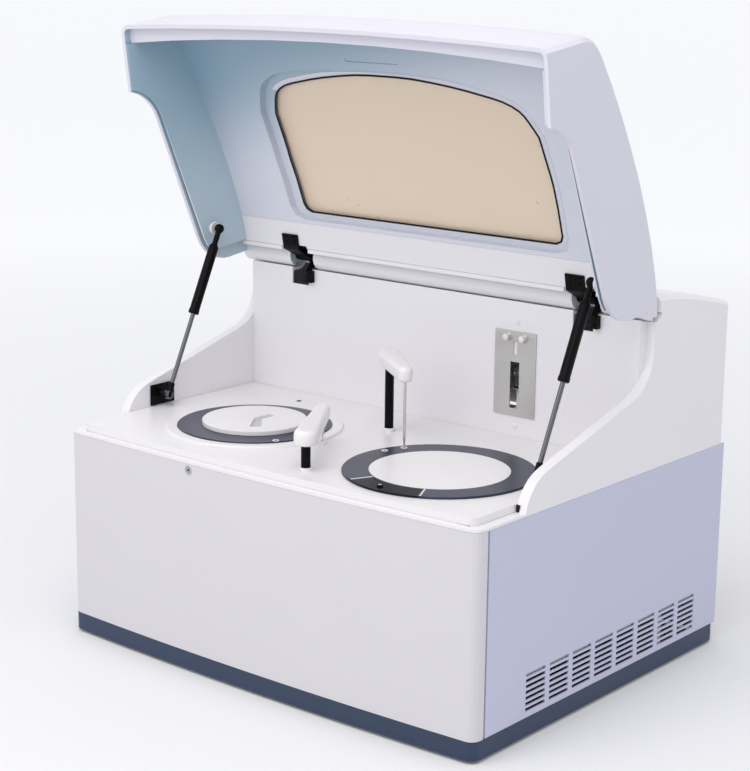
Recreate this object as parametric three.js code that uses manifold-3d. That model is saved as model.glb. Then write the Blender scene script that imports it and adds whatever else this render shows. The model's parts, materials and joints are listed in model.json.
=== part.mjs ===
// Benchtop chemistry analyzer with a tilting lid.
// Millimetres, +X right, +Y back, +Z up. The origin is the middle of the footprint, on the bench.
// At rest the lid stands open on its gas struts.

import * as THREE from 'three';
import { mergeVertices } from 'three/addons/utils/BufferGeometryUtils.js';
import Module from 'manifold-3d';

const wasm = await Module();
wasm.setup();

// Driving dimensions of the cabinet
const width = 860;
const depth = 700;
const frontBow = 12;
const edgeRadius = 16;
const seamZ = 353;
const rimThick = 4;
const deckRise = 12;
const plinthTop = 35;
const plinthFloor = 5;
const wall = 4;
const seat = 0.3;
const panelGap = 0.5;
const lap = 1;
const overrun = 20;

// Driving dimensions of the lid hinge line
const cheekBackY = 113;
const lidGap = 2.5;
const hingeZ = 617;
const noseRadius = 16;
const railRadius = 22;
const openAngle = THREE.MathUtils.degToRad(82);

const halfWidth = width / 2;
const backY = depth / 2;
const frontY = -backY;
const rimZ = seamZ + rimThick;
const deckZ = rimZ + deckRise;
const hingeY = cheekBackY - lidGap;
const crestZ = hingeZ + noseRadius;

// Finishes
const finish = (color, roughness, metalness = 0) =>
  new THREE.MeshStandardMaterial({ color, roughness, metalness });
const coverPaint = finish(0xdedce6, 0.42);
const linerPaint = finish(0xb9c4d6, 0.45);
const navyPaint = finish(0x2d3a52, 0.5);
const whitePlastic = finish(0xe9e9ee, 0.38);
const blackPlastic = finish(0x17181b, 0.5);
const blackSteel = finish(0x1b1c1f, 0.35, 0.6);
const brushedSteel = finish(0xb9b8b4, 0.32, 0.9);
const zincSteel = finish(0x9aa0a6, 0.45, 0.85);
const rubber = finish(0x1d1d20, 0.85);
const tintedPane = finish(0xcbb8a0, 0.12);
const boardGreen = finish(0x2f6b45, 0.6);
const clearPlastic = finish(0xd6dfe2, 0.15);
const smokedPane = finish(0x202430, 0.2);

// Solids: closed geometries become manifolds, which join and cut
const weldDistance = 1e-4;

function solid(geometry) {
  const bare = geometry.clone();
  bare.deleteAttribute('normal');
  bare.deleteAttribute('uv');
  const merged = mergeVertices(bare, weldDistance);
  return new wasm.Manifold(new wasm.Mesh({
    numProp: 3,
    vertProperties: new Float32Array(merged.attributes.position.array),
    triVerts: new Uint32Array(merged.index.array),
  }));
}

function geometryOf(body) {
  const mesh = body.asOriginal().simplify(weldDistance).getMesh();
  const geometry = new THREE.BufferGeometry();
  geometry.setAttribute('position', new THREE.BufferAttribute(mesh.vertProperties, 3));
  geometry.setIndex(new THREE.BufferAttribute(mesh.triVerts, 1));
  return geometry;
}

const join = (first, ...rest) => rest.reduce((body, piece) => body.add(piece), first);
const cut = (first, ...rest) => rest.reduce((body, piece) => body.subtract(piece), first);

// Primitive bodies, given by their limits
function block(x, y, z) {
  const geometry = new THREE.BoxGeometry(x[1] - x[0], y[1] - y[0], z[1] - z[0]);
  geometry.translate((x[0] + x[1]) / 2, (y[0] + y[1]) / 2, (z[0] + z[1]) / 2);
  return solid(geometry);
}

function post(x, y, z, radius, sides = 24, topRadius = radius) {
  const geometry = new THREE.CylinderGeometry(topRadius, radius, z[1] - z[0], sides);
  geometry.rotateX(Math.PI / 2);
  geometry.translate(x, y, (z[0] + z[1]) / 2);
  return solid(geometry);
}

function pinX(x, y, z, radius, sides = 20) {
  const geometry = new THREE.CylinderGeometry(radius, radius, x[1] - x[0], sides);
  geometry.rotateZ(Math.PI / 2);
  geometry.translate((x[0] + x[1]) / 2, y, z);
  return solid(geometry);
}

function pinY(x, y, z, radius, sides = 20) {
  const geometry = new THREE.CylinderGeometry(radius, radius, y[1] - y[0], sides);
  geometry.translate(x, (y[0] + y[1]) / 2, z);
  return solid(geometry);
}

function turned(points, x, y, sides = 48) {
  const profile = points.map(([r, z]) => new THREE.Vector2(r, z));
  const geometry = new THREE.LatheGeometry(profile, sides);
  geometry.rotateX(Math.PI / 2);
  geometry.translate(x, y, 0);
  return solid(geometry);
}

const loop = (points) => new THREE.Shape(points.map(([u, v]) => new THREE.Vector2(u, v)));

function plate(points, z, holes = []) {
  const shape = loop(points);
  shape.holes = holes.map((hole) => new THREE.Path(hole.map(([u, v]) => new THREE.Vector2(u, v))));
  const geometry = new THREE.ExtrudeGeometry(shape, { depth: z[1] - z[0], bevelEnabled: false });
  geometry.translate(0, 0, z[0]);
  return solid(geometry);
}

// A (y, z) outline drawn out along X
function beam(points, x) {
  const geometry = new THREE.ExtrudeGeometry(loop(points), { depth: x[1] - x[0], bevelEnabled: false });
  geometry.applyMatrix4(acrossX(x[0]));
  return solid(geometry);
}

function acrossX(start) {
  return new THREE.Matrix4().makeBasis(
    new THREE.Vector3(0, 1, 0), new THREE.Vector3(0, 0, 1), new THREE.Vector3(1, 0, 0),
  ).setPosition(start, 0, 0);
}

function arc(cu, cv, radius, fromDegrees, toDegrees, steps) {
  return Array.from({ length: steps + 1 }, (_, i) => {
    const angle = THREE.MathUtils.degToRad(fromDegrees + (toDegrees - fromDegrees) * i / steps);
    return [cu + radius * Math.cos(angle), cv + radius * Math.sin(angle)];
  });
}

function curve(p0, p1, p2, p3, steps) {
  const bezier = new THREE.CubicBezierCurve(...[p0, p1, p2, p3].map(([u, v]) => new THREE.Vector2(u, v)));
  return bezier.getPoints(steps).map((p) => [p.x, p.y]);
}

// Moves each side of a closed outline inwards by the same distance
function inset(points, distance) {
  const count = points.length;
  return points.map((point, i) => {
    const before = points[(i + count - 1) % count];
    const after = points[(i + 1) % count];
    const inA = unit([before[1] - point[1], point[0] - before[0]]);
    const inB = unit([point[1] - after[1], after[0] - point[0]]);
    const middle = [inA[0] + inB[0], inA[1] + inB[1]];
    const share = 2 * distance / (middle[0] ** 2 + middle[1] ** 2);
    return [point[0] + middle[0] * share, point[1] + middle[1] * share];
  });
}

function unit([u, v]) {
  const length = Math.hypot(u, v);
  return [u / length, v / length];
}

// The cabinet's outer form: a side profile drawn out between softly rounded sides.
// The front bows forward, most in the middle and on the front edge only.
const bowSteps = 8;
const bowDepthShare = 0.36;
const bowAt = (x) => frontBow * (x / halfWidth) ** 2;

function bowed(geometry) {
  const position = geometry.attributes.position;
  const reach = depth * bowDepthShare;
  for (let i = 0; i < position.count; i += 1) {
    const fade = THREE.MathUtils.clamp((frontY + reach - position.getY(i)) / reach, 0, 1);
    position.setY(i, position.getY(i) + bowAt(position.getX(i)) * fade);
  }
  return geometry;
}

// Top line of the closed instrument, from the front edge over the crest to the back edge
const hoodFrontZ = 452;
const hoodShoulder = [frontY + 40, 507];
const hoodBackZ = 595;
const frontPull = 30;
const shoulderPull = [-25, -13];
const riseCurve = [120, 62];
const crestPull = 120;
const crestBackPull = 90;
const backPull = [70, 17];
const topLine = [
  ...curve([frontY, hoodFrontZ], [frontY, hoodFrontZ + frontPull],
    [hoodShoulder[0] + shoulderPull[0], hoodShoulder[1] + shoulderPull[1]], hoodShoulder, 4),
  ...curve(hoodShoulder, [hoodShoulder[0] + riseCurve[0], hoodShoulder[1] + riseCurve[1]],
    [hingeY - crestPull, crestZ], [hingeY, crestZ], 8).slice(1),
  ...curve([hingeY, crestZ], [hingeY + crestBackPull, crestZ],
    [backY - backPull[0], hoodBackZ + backPull[1]], [backY, hoodBackZ], 5).slice(1),
];
const bodyOutline = [...topLine, [backY, seamZ - overrun * 2], [frontY, seamZ - overrun * 2]].reverse();

function cabinetForm(shrink) {
  const radius = Math.max(edgeRadius - shrink, edgeRadius / 2);
  const geometry = new THREE.ExtrudeGeometry(loop(inset(bodyOutline, shrink)), {
    depth: width - 2 * shrink - 2 * radius,
    steps: bowSteps,
    bevelEnabled: true,
    bevelThickness: radius,
    bevelSize: radius,
    bevelOffset: -radius,
    bevelSegments: 3,
  });
  geometry.applyMatrix4(acrossX(-halfWidth + shrink + radius));
  return solid(bowed(geometry));
}

// The line where lid and body part, seen from the side: up the cheek and back to the hinge line.
const cheekNoseRadius = 75;
const cheekNoseY = -151;
const cheekNoseZ = 340;
const cheekScoopRadius = 75;
const cheekScoopZ = 549;
const slopeDegrees = 15.7;

function cheekLine(gap, baseZ) {
  const noseR = cheekNoseRadius + gap;
  const scoopR = cheekScoopRadius - gap;
  const startAngle = 180 - THREE.MathUtils.radToDeg(Math.asin((baseZ - cheekNoseZ) / noseR));
  return [
    ...arc(cheekNoseY, cheekNoseZ, noseR, startAngle, 90 + slopeDegrees, 6),
    ...arc(cheekBackY - cheekScoopRadius, cheekScoopZ, scoopR, slopeDegrees - 90, 0, 6),
  ];
}

const gutterRadius = railRadius + lidGap;
const backGapRadius = noseRadius + lidGap;
const gutterRise = -30;
const gutterLip = -119.3;
const wallFaceY = 95;
const cheekThick = 18;
const wallSheet = 3.5;

// Everything behind and below the parting line
const bodySide = [
  [frontY - overrun, seamZ],
  [frontY - overrun, rimZ],
  ...cheekLine(0, rimZ),
  ...arc(hingeY, hingeZ, gutterRadius, -90 + THREE.MathUtils.radToDeg(Math.asin(lidGap / gutterRadius)),
    gutterRise, 4),
  ...arc(hingeY, hingeZ, backGapRadius, gutterRise, 0, 2),
  [hingeY + backGapRadius, crestZ + overrun],
  [backY + overrun, crestZ + overrun],
  [backY + overrun, seamZ],
];

// Everything above and in front of it
const lidSide = [
  ...cheekLine(lidGap, rimZ + lidGap),
  ...arc(hingeY, hingeZ, railRadius, -90, gutterRise, 3),
  ...arc(hingeY, hingeZ, noseRadius, gutterRise, 90, 6),
  [hingeY, crestZ + overrun],
  [frontY - overrun, crestZ + overrun],
  [frontY - overrun, rimZ + lidGap],
];

const parts = new THREE.Group();
const lid = new THREE.Group();
lid.position.set(0, hingeY, hingeZ);
lid.rotation.x = -openAngle;
parts.add(lid);

function add(name, body, material, group = parts) {
  const geometry = geometryOf(body);
  if (group === lid) geometry.translate(0, -hingeY, -hingeZ);
  const mesh = new THREE.Mesh(geometry, material);
  mesh.name = name;
  group.add(mesh);
}

// Plan outline of the cabinet, bowed at the front, with rounded corners
const cornerSteps = 4;

function planOutline(shrink) {
  const radius = Math.max(edgeRadius - shrink, edgeRadius / 4);
  const side = halfWidth - shrink;
  const back = backY - shrink;
  const cornerX = side - radius;
  const span = 2 * cornerX;
  const front = Array.from({ length: bowSteps + 1 }, (_, i) => {
    const x = -cornerX + span * i / bowSteps;
    return [x, frontY + shrink + bowAt(x)];
  });
  const frontEdge = front[0][1];
  const corner = (cx, cy, from) => arc(cx, cy, radius, from, from + 90, cornerSteps);
  return [
    ...front,
    ...corner(cornerX, frontEdge + radius, -90).slice(1),
    ...corner(cornerX, back - radius, 0),
    ...corner(-cornerX, back - radius, 90),
    ...corner(-cornerX, frontEdge + radius, 180).slice(0, -1),
  ];
}

// Plinth, feet and frame
const sheet = 3;
const footRadius = 20;
const footInset = 70;
const footToeShare = 0.9;
const footBeadShare = 0.4;
const footPositions = [
  ['front_left', -1, -1], ['front_right', 1, -1], ['rear_left', -1, 1], ['rear_right', 1, 1],
];

function basePlinth() {
  return cut(
    plate(planOutline(0), [plinthFloor, plinthTop]),
    plate(planOutline(sheet), [plinthFloor + wall, plinthTop + overrun]),
  );
}

function foot(sideX, sideY) {
  const toe = footRadius * footToeShare;
  const top = plinthFloor - seat;
  return turned([[0, 0], [toe, 0], [footRadius, top * footBeadShare], [toe, top], [0, top]],
    sideX * (halfWidth - footInset), sideY * (backY - footInset), 16);
}

// Work top layout: two disc centres and two arm posts, all in plan
const sampleDisc = [-183.2, -146.2];
const reactionDisc = [221, -160];
const reagentPost = [3, -18];
const samplePost = [64, -295];
const reagentReach = 124;
const sampleReach = 166;
const reagentRest = THREE.MathUtils.degToRad(-39.3);
const sampleRest = THREE.MathUtils.degToRad(122.2);

const frameTube = 15;
const frameX = halfWidth - sheet - seat;
const frameFrontY = frontY + frontBow + sheet;
const rearRecess = 25;
const frameBackY = backY - rearRecess;
const frameBottom = plinthFloor + wall + seat;
const frameTop = seamZ - seat;
const bearerZ = 100;
const guideTop = 340;
const guideHalf = 12;
const carriageHalf = 18;
const cornerPost = 30;

const guideY = (pivot) => pivot[1] + carriageHalf + seat;

function chassisFrame() {
  const inner = frameX - frameTube;
  const railY = [frameFrontY + frameTube, frameBackY];
  const cross = (y, z) => block([-inner - lap, inner + lap], [y, y + frameTube], [z, z + frameTube]);
  const bars = [];
  for (const z of [frameBottom, frameTop - frameTube]) {
    bars.push(cross(frameFrontY, z), cross(frameBackY - frameTube, z));
  }
  for (const side of [-1, 1]) {
    const along = [side * inner, side * frameX].sort((a, b) => a - b);
    const corner = [side * (frameX - cornerPost), side * frameX].sort((a, b) => a - b);
    for (const z of [frameBottom, bearerZ, frameTop - frameTube]) {
      bars.push(block(along, railY, [z, z + frameTube]));
    }
    bars.push(block(corner, [railY[0] - lap, railY[0] + frameTube], [frameBottom, frameTop]));
    for (const y of [frameBackY - frameTube, frameBackY / 2]) {
      bars.push(block(along, [y, y + frameTube], [frameBottom, frameTop]));
    }
  }
  for (const pivot of [reagentPost, samplePost]) {
    const y = guideY(pivot);
    bars.push(cross(y, bearerZ));
    bars.push(block([pivot[0] - guideHalf, pivot[0] + guideHalf], [y, y + frameTube], [bearerZ, guideTop]));
  }
  return join(...bars);
}

// Lower covers: a front cover that wraps both corners, two side panels and a recessed rear panel
const wrapY = -315;
const coverGap = 4;
const coverZ = [plinthTop + seat, seamZ - seat];
const lampX = -138;
const lampZ = 343;
const lampRadius = 6;
const lampHead = 1.2;

function frontPanel() {
  return cut(
    plate(planOutline(0), coverZ),
    plate(planOutline(sheet), [coverZ[0] - overrun, coverZ[1] + overrun]),
    block([-width, width], [wrapY, depth], [coverZ[0] - overrun, coverZ[1] + overrun]),
    pinY(lampX, [frontY - overrun, frontY + overrun], lampZ, lampRadius + seat, 12),
  );
}

function indicatorLamp() {
  const face = frontY + bowAt(lampX);
  return join(
    pinY(lampX, [face - seat, face + 2 * sheet], lampZ, lampRadius, 12),
    pinY(lampX, [face + sheet + seat, face + 2 * sheet], lampZ, lampRadius + lampHead, 12),
  );
}

const ventColumns = 8;
const ventRows = 7;
const ventFirstY = -210;
const ventPitchY = 62;
const ventSlotY = 51;
const ventBottom = 45;
const ventPitchZ = 9.2;
const ventSlotZ = 5.4;

function sidePanel(side, columns) {
  const faceX = side > 0 ? [halfWidth - sheet, halfWidth] : [-halfWidth, -halfWidth + sheet];
  const slots = [];
  for (let column = 0; column < columns; column += 1) {
    const y = ventFirstY + column * ventPitchY;
    for (let row = 0; row < ventRows; row += 1) {
      const z = ventBottom + row * ventPitchZ;
      slots.push(block([faceX[0] - sheet, faceX[1] + sheet], [y, y + ventSlotY], [z, z + ventSlotZ]));
    }
  }
  return cut(block(faceX, [wrapY + coverGap, backY - panelGap], coverZ), ...slots);
}

const rearFace = [frameBackY + seat, frameBackY + seat + sheet];
const fanX = 250;
const fanZ = 180;
const fanBore = 37;
const fanHalf = 42;
const fanDepth = 24;
const fanHub = 14;
const fanBlades = 7;
const fanBladeSheet = 2;
const fanBladeTilt = 35;
const guardBar = 3;
const guardPitch = 15;
const guardCount = 2;
const spiderDepth = 7;
const inletX = [-330, -302];
const inletZ = [70, 92];
const inletDepth = 18;
const inletFlange = 2;
const inletPinHalf = 1;
const rockerX = [-288, -270];
const rockerDish = 2;
const rockerPinZ = (inletZ[0] + inletZ[1]) / 2;
const nippleX = [-150, -110, -70];
const nippleZ = 90;
const nippleRadius = 6;
const nippleLength = 14;

function rearPanel() {
  const inner = halfWidth - sheet - seat;
  const through = [rearFace[0] - fanDepth - overrun, rearFace[1] + overrun];
  const housing = block([fanX - fanHalf, fanX + fanHalf], [rearFace[0] - fanDepth, rearFace[0] + lap],
    [fanZ - fanHalf, fanZ + fanHalf]);
  const pierced = cut(
    join(block([-inner, inner], rearFace, coverZ), housing),
    pinY(fanX, through, fanZ, fanBore, 20),
    block([inletX[0] - seat, inletX[1] + seat], through, [inletZ[0] - seat, inletZ[1] + seat]),
    block([rockerX[0] - seat, rockerX[1] + seat], through, [inletZ[0] - seat, inletZ[1] + seat]),
  );
  const guard = [];
  for (let bar = -guardCount; bar <= guardCount; bar += 1) {
    const z = fanZ + bar * guardPitch;
    guard.push(block([fanX - fanBore - lap, fanX + fanBore + lap], rearFace, [z - guardBar / 2, z + guardBar / 2]));
  }
  guard.push(block([fanX - guardBar / 2, fanX + guardBar / 2], rearFace,
    [fanZ - fanBore - lap, fanZ + fanBore + lap]));
  guard.push(pinY(fanX, [rearFace[0] - spiderDepth, rearFace[0] + lap], fanZ, fanHub / 2, 12));
  const nipples = nippleX.map((x) => cut(
    pinY(x, [rearFace[0], rearFace[1] + nippleLength], nippleZ, nippleRadius, 12),
    pinY(x, [rearFace[1], rearFace[1] + nippleLength + overrun], nippleZ, nippleRadius / 2, 10),
  ));
  return join(pierced, ...guard, ...nipples);
}

function fanRotor() {
  const y = [rearFace[0] - fanDepth + sheet, rearFace[0] - spiderDepth - seat];
  const middle = (y[0] + y[1]) / 2;
  const bladeHalf = (y[1] - y[0]) / 2 - sheet;
  const radius = fanBore - sheet;
  const blades = Array.from({ length: fanBlades }, (_, i) =>
    block([-bladeHalf, bladeHalf], [-fanBladeSheet / 2, fanBladeSheet / 2], [fanHub - lap, radius])
      .rotate([0, 0, fanBladeTilt])
      .rotate([0, 360 * i / fanBlades, 0])
      .translate([fanX, middle, fanZ]));
  return join(pinY(fanX, y, fanZ, fanHub, 20), ...blades);
}

function powerInlet() {
  const body = join(
    block(inletX, [rearFace[0] - inletDepth, rearFace[1]], inletZ),
    block([inletX[0] - inletFlange, inletX[1] + inletFlange], [rearFace[1] + seat, rearFace[1] + 2 * inletFlange],
      [inletZ[0] - inletFlange, inletZ[1] + inletFlange]),
    block(inletX, [rearFace[0], rearFace[1] + inletFlange], inletZ),
  );
  const mouth = block([inletX[0] + sheet, inletX[1] - sheet], [rearFace[0] - inletDepth + sheet, backY],
    [inletZ[0] + sheet, inletZ[1] - sheet]);
  const pins = [-1, 0, 1].map((place) => {
    const x = (inletX[0] + inletX[1]) / 2 + place * 2 * sheet;
    return block([x - inletPinHalf, x + inletPinHalf], [rearFace[0] - inletDepth + lap, rearFace[0] - sheet],
      [rockerPinZ - sheet, rockerPinZ + sheet]);
  });
  return join(cut(body, mouth), ...pins);
}

function powerRocker() {
  const half = (inletZ[1] - inletZ[0] - rockerDish) / 2;
  return beam([
    [rearFace[0] - sheet, rockerPinZ - half + rockerDish], [rearFace[1] + lap, rockerPinZ - half],
    [rearFace[1], rockerPinZ], [rearFace[1] + sheet, rockerPinZ + half],
    [rearFace[0] - sheet, rockerPinZ + half - rockerDish],
  ], [rockerX[0] + seat, rockerX[1] - seat]);
}

// Upper housing: rim, cheeks, back wall and rear hood in one moulding
const innerX = halfWidth - cheekThick;
const rimLedge = 8;
const openingFrontY = frontY + 24;
const openingBackY = wallFaceY - 6;
const form = cabinetForm(0);
const hollowForm = cabinetForm(wall);
const syringeX = 178;
const syringePocketHalf = 17;
const syringePocketZ = [410, 500];
const hingeX = [-297, 307];
const hingeHalf = 18;
const hingeFoot = 12;
const hingeFootGap = 3;
const hingeNotchZ = 566;
const notchFit = 1.5;
const gutterEnd = [
  hingeY + gutterRadius * Math.cos(THREE.MathUtils.degToRad(gutterRise)),
  hingeZ + gutterRadius * Math.sin(THREE.MathUtils.degToRad(gutterRise)),
];

const cheekHollow = [
  ...cheekLine(-wall, rimZ),
  [cheekBackY + wall, hingeZ - gutterRadius - 2 * wall],
  [cheekBackY + 2 * wall, hingeZ - gutterRadius - 2 * wall],
  [cheekBackY + 2 * wall, seamZ - overrun],
  [cheekLine(-wall, rimZ)[0][0], seamZ - overrun],
];
const hoodHollow = [
  [wallFaceY + wallSheet, seamZ - overrun],
  [wallFaceY + wallSheet, hingeZ - gutterRadius - wall],
  ...arc(hingeY, hingeZ, gutterRadius + wall, -100, gutterRise, 4),
  [gutterEnd[0] + wall, crestZ + overrun],
  [backY + overrun, crestZ + overrun],
  [backY + overrun, seamZ - overrun],
];
const wallOutline = [
  [wallFaceY, rimZ],
  [cheekBackY + wall, rimZ],
  [cheekBackY + wall, hingeZ - gutterRadius - wall / 2],
  ...arc(hingeY, hingeZ, gutterRadius, -84, gutterLip, 3),
  [wallFaceY, hingeZ + gutterRadius * Math.sin(THREE.MathUtils.degToRad(gutterLip))],
];

function upperHousing() {
  const shell = join(
    form.intersect(beam(bodySide, [-width, width])),
    beam(wallOutline, [-innerX - wall / 2, innerX + wall / 2]),
  );
  const openingX = innerX - rimLedge;
  const cheekWalls = [[-width, -innerX], [innerX, width]].map((x) =>
    block(x, [wallFaceY, cheekBackY + wall], [seamZ - 2 * overrun, crestZ + overrun]));
  const hood = cut(hollowForm.intersect(beam(hoodHollow, [-width, width])), ...cheekWalls);
  return cut(
    shell,
    block([-innerX, innerX], [frontY - overrun, wallFaceY], [rimZ, crestZ + overrun]),
    block([-openingX, openingX], [openingFrontY, openingBackY], [seamZ - overrun, rimZ + overrun]),
    hood,
    hollowForm.intersect(beam(cheekHollow, [innerX + wall, width])),
    hollowForm.intersect(beam(cheekHollow, [-width, -innerX - wall])),
    block([syringeX - syringePocketHalf, syringeX + syringePocketHalf],
      [wallFaceY - overrun, cheekBackY + overrun], syringePocketZ),
    ...hingeX.map((x) => block([x - hingeHalf - notchFit, x + hingeHalf + notchFit],
      [wallFaceY - overrun, gutterEnd[0]], [hingeNotchZ, gutterEnd[1]])),
  );
}

// Deck: the raised work top with its two disc wells and the probe wash cup
const deckSheet = 3;
const deckInset = 14;
const deckCorner = 14;
const sampleHole = 128;
const reactionHole = 145;
const sampleRim = sampleHole + 2.3;
const reactionRim = reactionHole + 7.5;
const bezelRadius = 149.5;
const bezelRise = 4;
const postRadius = 7.5;
const bushRadius = 10;
const bushRise = 6;
const washRadius = 9;
const washWall = 2.5;
const washDepth = 28;
const washRise = 5;
const discSides = 48;

const ahead = ([x, y], reach, angle) => [x + reach * Math.cos(angle), y + reach * Math.sin(angle)];
const bearing = ([x, y], [u, v]) => Math.atan2(v - y, u - x);
const span = ([x, y], [u, v]) => Math.hypot(u - x, v - y);

// Angle at which an arm's tip meets a circle round a disc centre
function meet(pivot, reach, centre, radius) {
  const apart = span(pivot, centre);
  const bend = Math.acos((apart ** 2 + reach ** 2 - radius ** 2) / (2 * apart * reach));
  return bearing(pivot, centre) + bend;
}

const washCup = ahead(samplePost, sampleReach, sampleRest);
const reagentOverReaction = ahead(reagentPost, reagentReach, reagentRest);
const cuvetteCircle = span(reactionDisc, reagentOverReaction);
const reagentOverSample = ahead(reagentPost, reagentReach, bearing(reagentPost, sampleDisc));
const bottleCircle = span(sampleDisc, reagentOverSample);
const sampleOverSample = ahead(samplePost, sampleReach, bearing(samplePost, sampleDisc));
const tubeCircle = span(sampleDisc, sampleOverSample);
const sampleOverReaction = ahead(samplePost, sampleReach,
  meet(samplePost, sampleReach, reactionDisc, cuvetteCircle));

function deckOutline(shrink) {
  const side = innerX - panelGap - shrink;
  const back = wallFaceY - panelGap - shrink;
  const radius = deckCorner - shrink;
  const cornerX = side - radius;
  const front = Array.from({ length: bowSteps + 1 }, (_, i) => {
    const x = -cornerX + 2 * cornerX * i / bowSteps;
    return [x, frontY + deckInset + shrink + bowAt(x)];
  });
  const frontEdge = front[0][1];
  return [
    ...front,
    ...arc(cornerX, frontEdge + radius, radius, -90, 0, cornerSteps).slice(1),
    [side, back],
    [-side, back],
    ...arc(-cornerX, frontEdge + radius, radius, 180, 270, cornerSteps).slice(0, -1),
  ];
}

function deckPlate() {
  const through = [rimZ - overrun, deckZ + overrun];
  const bottom = deckZ - deckSheet;
  const top = deckZ + bezelRise;
  const tray = cut(
    plate(deckOutline(0), [rimZ + seat, deckZ]),
    plate(deckOutline(deckSheet), [rimZ - overrun, bottom]),
  );
  const bezel = turned([
    [sampleRim + seat, bottom], [bezelRadius, bottom], [bezelRadius, top - bezelRise / 2],
    [bezelRadius - bezelRise / 2, top], [sampleRim + seat, top], [sampleRim + seat, bottom],
  ], ...sampleDisc, discSides);
  const bushes = [reagentPost, samplePost].map((pivot) =>
    post(...pivot, [bottom - bushRise, deckZ + bushRise], bushRadius, 20));
  const cup = post(...washCup, [deckZ - washDepth, deckZ + washRise], washRadius, 20, washRadius - washWall);
  const holes = [reagentPost, samplePost].map((pivot) => post(...pivot, through, postRadius + seat, 20));
  return cut(
    join(tray, bezel, ...bushes, cup),
    ...holes,
    post(...sampleDisc, through, sampleHole, discSides),
    post(...reactionDisc, through, reactionHole, discSides),
    post(...washCup, [deckZ - washDepth + washWall, deckZ + overrun], washRadius - 2 * washWall, 12),
  );
}

// Disc wells, hung under the deck, each with its drive plate on standoffs
const bowlWall = 3.5;
const bowlFlange = 8;
const bowlTop = deckZ - deckSheet - seat;
const bowlFloor = 288;
const drivePlateZ = [258, 262];
const spindleRadius = 10;
const standoffRadius = 6;
const standoffReach = 52;
const standoffTurns = [70, 135, 225, 290].map(THREE.MathUtils.degToRad);
const plateHalf = 60;
const driveSpan = 96;
const sampleDrive = THREE.MathUtils.degToRad(120);
const reactionDrive = THREE.MathUtils.degToRad(60);
const motorRadius = 24;
const motorHeight = 44;
const motorShaft = 4;
const motorPulley = 12;
const discPulley = 34;
const pulleyZ = [266, 280];
const beltThick = 1.6;
const beltInset = 2;

function discBowl(disc, hole, drive) {
  const inside = hole + bowlWall;
  const outside = inside + bowlWall;
  const tub = turned([
    [spindleRadius + seat, bowlFloor], [outside, bowlFloor], [outside, bowlTop - bowlWall],
    [outside + bowlFlange, bowlTop - bowlWall], [outside + bowlFlange, bowlTop], [inside, bowlTop],
    [inside, bowlFloor + bowlWall], [spindleRadius + seat, bowlFloor + bowlWall],
    [spindleRadius + seat, bowlFloor],
  ], ...disc, 28);
  const [x, y] = disc;
  const [motorX, motorY] = ahead(disc, driveSpan, drive);
  const left = Math.min(x - plateHalf, motorX - motorRadius);
  const right = Math.max(x + plateHalf, motorX + motorRadius);
  const bracket = block([left, right], [y - plateHalf, motorY + motorRadius], drivePlateZ);
  const standoffs = standoffTurns.map((turn) =>
    post(...ahead(disc, standoffReach, drive + turn), [drivePlateZ[0], bowlFloor + lap], standoffRadius, 8));
  return cut(
    join(tub, bracket, ...standoffs),
    post(x, y, [drivePlateZ[0] - overrun, drivePlateZ[1] + lap], spindleRadius / 2 + seat, 12),
    post(motorX, motorY, [drivePlateZ[0] - overrun, drivePlateZ[1] + overrun], motorShaft + seat, 10),
  );
}

function driveMotor(disc, drive) {
  const centre = ahead(disc, driveSpan, drive);
  const top = drivePlateZ[0] - seat;
  return join(
    post(...centre, [top - motorHeight, top], motorRadius, 16),
    post(...centre, [top - motorHeight - motorShaft, top], motorRadius / 2, 12),
  );
}

function drivePulley(disc, drive) {
  return turned([
    [0, drivePlateZ[0]], [motorShaft, drivePlateZ[0]], [motorShaft, pulleyZ[0]], [motorPulley, pulleyZ[0]],
    [motorPulley, pulleyZ[1]], [0, pulleyZ[1]],
  ], ...ahead(disc, driveSpan, drive), 20);
}

function driveBelt(disc, drive) {
  const bend = THREE.MathUtils.radToDeg(Math.acos((discPulley - motorPulley) / driveSpan));
  const turn = THREE.MathUtils.radToDeg(drive);
  const motorCentre = ahead(disc, driveSpan, drive);
  const outline = (grow) => [
    ...arc(...disc, discPulley + grow, turn + bend, turn + 360 - bend, 18),
    ...arc(...motorCentre, motorPulley + grow, turn - bend, turn + bend, 8),
  ];
  return plate(outline(2 * seat + beltThick), [pulleyZ[0] + beltInset, pulleyZ[1] - beltInset],
    [outline(2 * seat)]);
}

// Carousels: ring, web, spindle and belt pulley turned in one
const carouselTop = 348;
const carouselGap = 2;
const ringHeight = 42;
const webZ = [318, 322];
const spindleTop = 360;
const pocketDepth = 38;
const cuvetteCount = 48;
const cuvetteRadius = 6;
const cuvetteRing = 20;
const tubeCount = 20;
const tubeRadius = 5;
const bottleCount = 12;
const bottleRadius = 11;
const sampleRing = 48;

function pocketRow(disc, target, count, radius, corners) {
  const circle = span(disc, target);
  const first = bearing(disc, target);
  return Array.from({ length: count }, (_, i) => post(
    ...ahead(disc, circle, first + 2 * Math.PI * i / count),
    [carouselTop - pocketDepth, carouselTop + overrun], radius, corners,
  ));
}

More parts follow.
